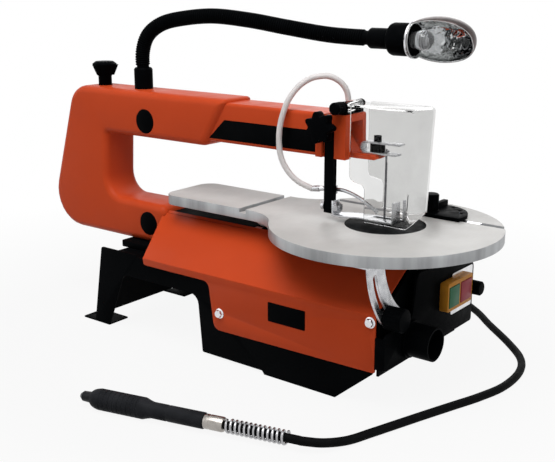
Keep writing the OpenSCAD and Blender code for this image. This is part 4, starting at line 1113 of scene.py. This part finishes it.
@dataclass(frozen=True)
class LampArm(SubAssembly):
    """Ribbed gooseneck and the lamp's open shade with its chromed inside."""

    neck: tuple[Point, ...] = (
        (-356, 0, 276), (-356, 0, 298), (-347, 1, 319), (-327, 4, 333), (-300, 10, 340), (-257, 20, 344),
        (-209, 31, 340), (-163, 41, 333), (-110, 51, 326), (-60, 56, 324))
    neck_radius: float = 9.0
    core_radius: float = 7.6
    rib_height: float = 1.5
    ribs: int = 118
    bare_ribs: int = 3
    steep: float = 0.8
    head: Point = (-60.0, 56.0, 324.0)
    socket: Outline = (
        (0, 1.3), (10.3, 1.3), (11.2, 2.6), (11.2, 26.5), (14.6, 27.4), (16.6, 29.0), (17.5, 31.5),
        (17.5, 52.6), (16.9, 53.8), (9.0, 54.0), (9.0, 39.0), (0, 39.0))
    ring: Outline = ((17.5, 52.8), (19.3, 53.2), (20.0, 54.4), (19.6, 55.6), (18.0, 56.0), (17.0, 55.6))
    opening: Point = (0.0, -0.89, -0.456)
    sides: int = 64
    shade_start: float = 43.0
    shade_length: float = 81.0
    shade_radius: float = 25.0
    shade_fullness: float = 0.8
    shade_from: int = 42
    shade_step: float = 14.0
    shade_lip: float = 2.0
    shade_wall: float = 1.4

    def build(self) -> None:
        """Makes the neck, the socket and the shade."""
        self._neck()
        self._socket()
        self._shade()

    def _neck(self) -> None:
        """Makes the neck's core and its wound ribs."""
        walk = smooth_path(self.neck, steps=24)
        bare = self.bare_ribs
        places = evenly(walk, self.ribs + 2 * bare)[bare:-bare]
        pitch = length_of(walk) / (self.ribs + 2 * bare - 1) / MM
        high = self.rib_height
        turns = [math.pi * k / 8 for k in range(9)]
        bulge = [(self.neck_radius - high + high * math.sin(t), pitch * 0.5 * -math.cos(t)) for t in turns]
        rib = mesh_of("neck_rib", lathe(bulge, Matrix.Identity(4), steps=28), angle=60.0)
        up, forward = Vector((0, 0, 1)), Vector((1, 0, 0))
        frames = [frame_on(place, along, up if abs(along.z) < self.steep else forward)
                  for place, along in places]
        ribs = self.repeater.stand("neck_ribs", rib, frames, self.dresser.paints.of(Slot.BLACK_PLASTIC))
        self.dresser.set(ribs, Slot.BLACK_PLASTIC, Body.LAMP, ("gooseneck",))
        core = swept(walk, self.core_radius, sides=28)
        self.dresser.piece("neck_core", core, Slot.BLACK_PLASTIC, Body.LAMP)

    def _head_frame(self) -> Matrix:
        """Returns the head's frame, whose z runs along the lamp and whose x leaves the shade's opening."""
        return frame_on(at(*self.head), Vector((1, 0, 0)), Vector(self.opening))

    def _socket(self) -> None:
        """Makes the collar with its socket, and the bright ring at the socket's end."""
        socket = lathe(self.socket, self._head_frame(), self.sides)
        self.dresser.piece("lamp_socket", socket, Slot.BLACK_PLASTIC, Body.LAMP, replaces=("lamp_head",))
        ring = lathe([*self.ring, self.ring[0]], self._head_frame(), self.sides)
        bmesh.ops.remove_doubles(ring, verts=ring.verts, dist=1e-7)
        self.dresser.piece("socket_ring", ring, Slot.ZINC, Body.LAMP, finish=FINISHES[Slot.BRIGHT])

    def _egg(self, angle: float) -> tuple[float, float]:
        """Outside of the shade.

        Args:
            angle: Angle from the shade's small end in degrees.

        Returns:
            Its radius and height there, in millimetres.
        """
        turn = math.radians(angle)
        return (self.shade_radius * max(0.0, math.sin(turn)) ** self.shade_fullness,
                self.shade_start + self.shade_length * (1 - math.cos(turn)) / 2)

    def _shade(self) -> None:
        """Makes the open shade with a bright rim."""
        place = self._head_frame()
        profile = [self._egg(a) for a in range(self.shade_from, 180, 4)] + [(0.0, self._egg(180)[1])]
        build = lathe(profile, place, self.sides)
        axis = place.to_3x3()
        low = self.shade_start + self.shade_step
        step, lip = place @ (Vector((0, 0, low)) * MM), place @ (Vector((self.shade_lip, 0, 0)) * MM)
        for origin, normal in ((step, axis @ Vector((0, 0, 1))), (lip, axis @ Vector((1, 0, 0)))):
            bmesh.ops.bisect_plane(build, geom=build.verts[:] + build.edges[:] + build.faces[:], dist=1e-6,
                                   plane_co=origin, plane_no=normal)
        back = place.inverted()
        cut = []
        for face in build.faces:
            local = back @ face.calc_center_median()
            if local.x > self.shade_lip * MM and local.z > low * MM:
                cut.append(face)
        bmesh.ops.delete(build, geom=cut, context="FACES")
        shade = new_object("shade_shell", mesh_of("shade_shell", build))
        for finish in (SHADE_OUTSIDE, REFLECTOR):
            shade.data.materials.append(self.dresser.paints.of(finish))
        wall = shade.modifiers.new("wall", "SOLIDIFY")
        wall.thickness = self.shade_wall * MM
        wall.offset = -1.0
        wall.material_offset = 1
        wall.material_offset_rim = 1
        graph = bpy.context.evaluated_depsgraph_get()
        mesh = bpy.data.meshes.new_from_object(shade.evaluated_get(graph), depsgraph=graph)
        shade.modifiers.remove(wall)
        shade.data = mesh
        self.dresser.set(shade, Slot.ZINC, Body.LAMP, ("lamp_shade",))


@dataclass(frozen=True)
class Trim(SubAssembly):
    """Bare trim plates, the folded black sheet over the lower arm that stands in for the shade under the
    table (painted shade), and the cover screws.
    """

    arm_side: float = 22.0
    stripe: Outline = ((-204.4, 230.4), (-228.0, 207.6), (-65.5, 207.6), (-65.5, 230.4))
    badge: Outline = ((-91.2, 52.6), (-91.2, 31.0), (-42.0, 31.0), (-42.0, 52.6))
    film: float = 0.3
    badge_thick: float = 0.6
    plate_corner: float = 1.2
    label: Outline = ((46.0, 33.0), (94.0, 33.0), (94.0, 80.0), (46.0, 80.0))
    label_corner: float = 3.0
    label_x: float = 58.0
    # Folded black sheet over the lower arm: painted shade, standing in for the shade inside the housing under
    # the table.
    shade_sheet: Outline = (
        (-22.0, 97.0), (-20.8, 97.0), (-20.8, 105.4), (22.8, 105.4), (22.8, 97.0), (24.0, 97.0),
        (24.0, 106.6), (-22.0, 106.6))
    shade_sheet_rear: float = -299.5
    shade_sheet_length: float = 127.0
    screws: Outline = ((-160.0, 24.0), (38.0, 59.0))
    screw_rings: tuple[tuple[float, float, bool], ...] = (
        (5.8, 0.0, False), (5.8, 0.8, False), (5.1, 1.3, False), (4.7, 1.4, True), (4.7, 4.0, True),
        (3.9, 4.5, False))
    screw_sides: int = 48

    def build(self) -> None:
        """Makes the stripes, the badge, the label, the black sheet of painted shade over the lower arm and
        the screws.
        """
        walls = {-1.0: -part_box("left_cover")[0].y / MM, 1.0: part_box("right_cover")[1].y / MM}
        for side, name in ((-1.0, "left"), (1.0, "right")):
            self._wall_plate("arm_stripe_" + name, self.stripe, side, self.arm_side, self.film)
        self._wall_plate("cover_badge", self.badge, -1.0, walls[-1.0], self.badge_thick)
        outline = rounded(self.label, self.label_corner)
        label = plate(outline, self._forward(self.label_x), self.film, edge=0.1)
        self.dresser.piece("switch_label", label, Slot.ZINC, Body.FRAME, finish=LABEL)
        # Black sheet put where the housing lies in shade under the table: painted shade.
        shade_sheet = plate(self.shade_sheet, self._forward(self.shade_sheet_rear), self.shade_sheet_length, edge=0.2)
        self.dresser.piece("arm_shield", shade_sheet, Slot.BLACK_SHEET, Body.FRAME)
        places = [frame_on(at(x, side * reach, z), Vector((0, side, 0)), Vector((0, 0, 1)))
                  for side, reach in walls.items() for x, z in self.screws]
        steel = self.dresser.paints.of(Slot.BRIGHT)
        heads = self.repeater.stand("cover_screws", self._screw(), places, steel)
        self.dresser.set(heads, Slot.BRIGHT, Body.FRAME)

    def _forward(self, x: float) -> Matrix:
        """Returns the frame of a plate that stands across the saw and faces forward."""
        return frame_on(at(x, 0, 0), Vector((1, 0, 0)), Vector((0, 1, 0)))

    def _wall_plate(self, name: str, corners: Outline, side: float, reach: float, thick: float) -> None:
        """Lays a black plate on a wall that faces left or right.

        Args:
            name: Name of the piece.
            corners: Its corners along the saw and upwards, in millimetres.
            side: Minus one for the left wall, one for the right.
            reach: Distance of the wall from the saw's middle in millimetres.
            thick: Thickness in millimetres.
        """
        place = frame_on(at(0, side * reach, 0), Vector((0, side, 0)), Vector((-side, 0, 0)))
        outline = rounded([(-side * x, z) for x, z in corners], self.plate_corner)
        self.dresser.piece(name, plate(outline, place, thick, thick * 0.4), Slot.BLACK_PLASTIC, Body.FRAME,
                           finish=STRIPE)

    def _screw(self) -> bpy.types.Mesh:
        """Makes a flanged hexagon screw head.

        Returns:
            Its mesh.
        """
        build = bmesh.new()
        loops = []
        for radius, height, hexagon in self.screw_rings:
            loop = []
            for k in range(self.screw_sides):
                angle = math.tau * k / self.screw_sides
                fold = abs((angle + math.pi / 6) % (math.pi / 3) - math.pi / 6)
                reach = radius * math.cos(math.pi / 6) / math.cos(fold) if hexagon else radius
                loop.append(build.verts.new(Vector((*turned(reach, angle), height)) * MM))
            loops.append(loop)
        skin(build, loops, caps=True)
        return mesh_of("screw_head", build)


class CadSkin:
    """Finishes of the CAD nodes that stay in view."""

    EASED: dict[str, float] = {node: width for width, nodes in {
        0.3: "hold_down_foot blade_clip tilt_bracket",
        0.4: "hold_down_post guard_hinge guard_knob",
        0.5: "mitre_head blade_guard speed_knob mitre_knob",
        0.6: "front_plate table_top pivot_caps tilt_knob",
        0.8: "base_frame frame_pedestal left_cover right_cover front_cover switch_housing start_button "
             "stop_button tension_knob motor_housing",
        1.0: "star_knob",
    }.items() for node in nodes.split()}
    OWN: dict[str, Finish] = {"collet_nut": BLACK_OXIDE}
    SHARP_FROM = math.radians(32.0)
    EASED_FROM = math.radians(40.0)
    FLAT_BELOW = math.radians(1.0)
    WELD = 1e-5

    def __init__(self, paints: Paints) -> None:
        """Keeps the materials and builds the smoothing group.

        Args:
            paints: Materials by finish.
        """
        self.paints = paints
        self.smooth = self._smoothing()

    def _smoothing(self) -> bpy.types.NodeTree:
        """Builds the node group that shades a mesh smooth except at its sharp edges.

        Returns:
            The group.
        """
        tree = bpy.data.node_groups.new("smooth_by_angle", "GeometryNodeTree")
        for way in ("INPUT", "OUTPUT"):
            tree.interface.new_socket("Mesh", in_out=way, socket_type="NodeSocketGeometry")
        given = node_in(tree, "NodeGroupInput", {})
        angle = node_in(tree, "GeometryNodeInputMeshEdgeAngle", {})
        sharp = node_in(tree, "FunctionNodeCompare", {
            "A": angle.outputs["Unsigned Angle"], "B": self.SHARP_FROM}, operation="GREATER_THAN")
        normal = node_in(tree, "GeometryNodeSetMeshNormal", {
            "Mesh": given.outputs["Mesh"], "Remove Custom": True, "Edge Sharpness": sharp.outputs["Result"]},
            mode="SHARPNESS")
        node_in(tree, "NodeGroupOutput", {"Mesh": normal.outputs["Mesh"]})
        return tree

    def dress(self) -> None:
        """Gives every node of the frame its material, eased edges and smooth shading."""
        slots = {part["node"]: Slot(part["material_slot"]) for part in frame["record"]["subparts"]}
        for name, obj in frame["nodes"].items():
            obj.data.materials.clear()
            obj.data.materials.append(self.paints.of(self.OWN.get(name, slots[name])))
            weld = obj.modifiers.new("weld", "WELD")
            weld.merge_threshold = self.WELD
            if name in self.EASED:
                flat = obj.modifiers.new("flat", "DECIMATE")
                flat.decimate_type = "DISSOLVE"
                flat.angle_limit = self.FLAT_BELOW
                ease = obj.modifiers.new("ease", "BEVEL")
                ease.width = self.EASED[name] * MM
                ease.segments = 2
                ease.limit_method = "ANGLE"
                ease.angle_limit = self.EASED_FROM
            shade = obj.modifiers.new("shade", "NODES")
            shade.node_group = self.smooth


def main() -> None:
    """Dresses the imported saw."""
    logging.basicConfig(level=logging.INFO)
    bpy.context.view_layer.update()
    paints = Paints()
    dresser = Dresser(paints)
    repeater = Repeater()
    Studio().build()
    for group in (FlexibleShaft, BlowerLine, LampArm, Trim):
        group(dresser, repeater).build()
    CadSkin(paints).dress()
    for piece in dresser.made:
        log.info("piece %s: %d faces", piece.name, len(piece.data.polygons))
    for name in frame["nodes"]:
        log.info("node %s: finish %s", name, frame["nodes"][name].data.materials[0].name)
    bpy.context.view_layer.update()


if __name__ == "__main__":
    main()
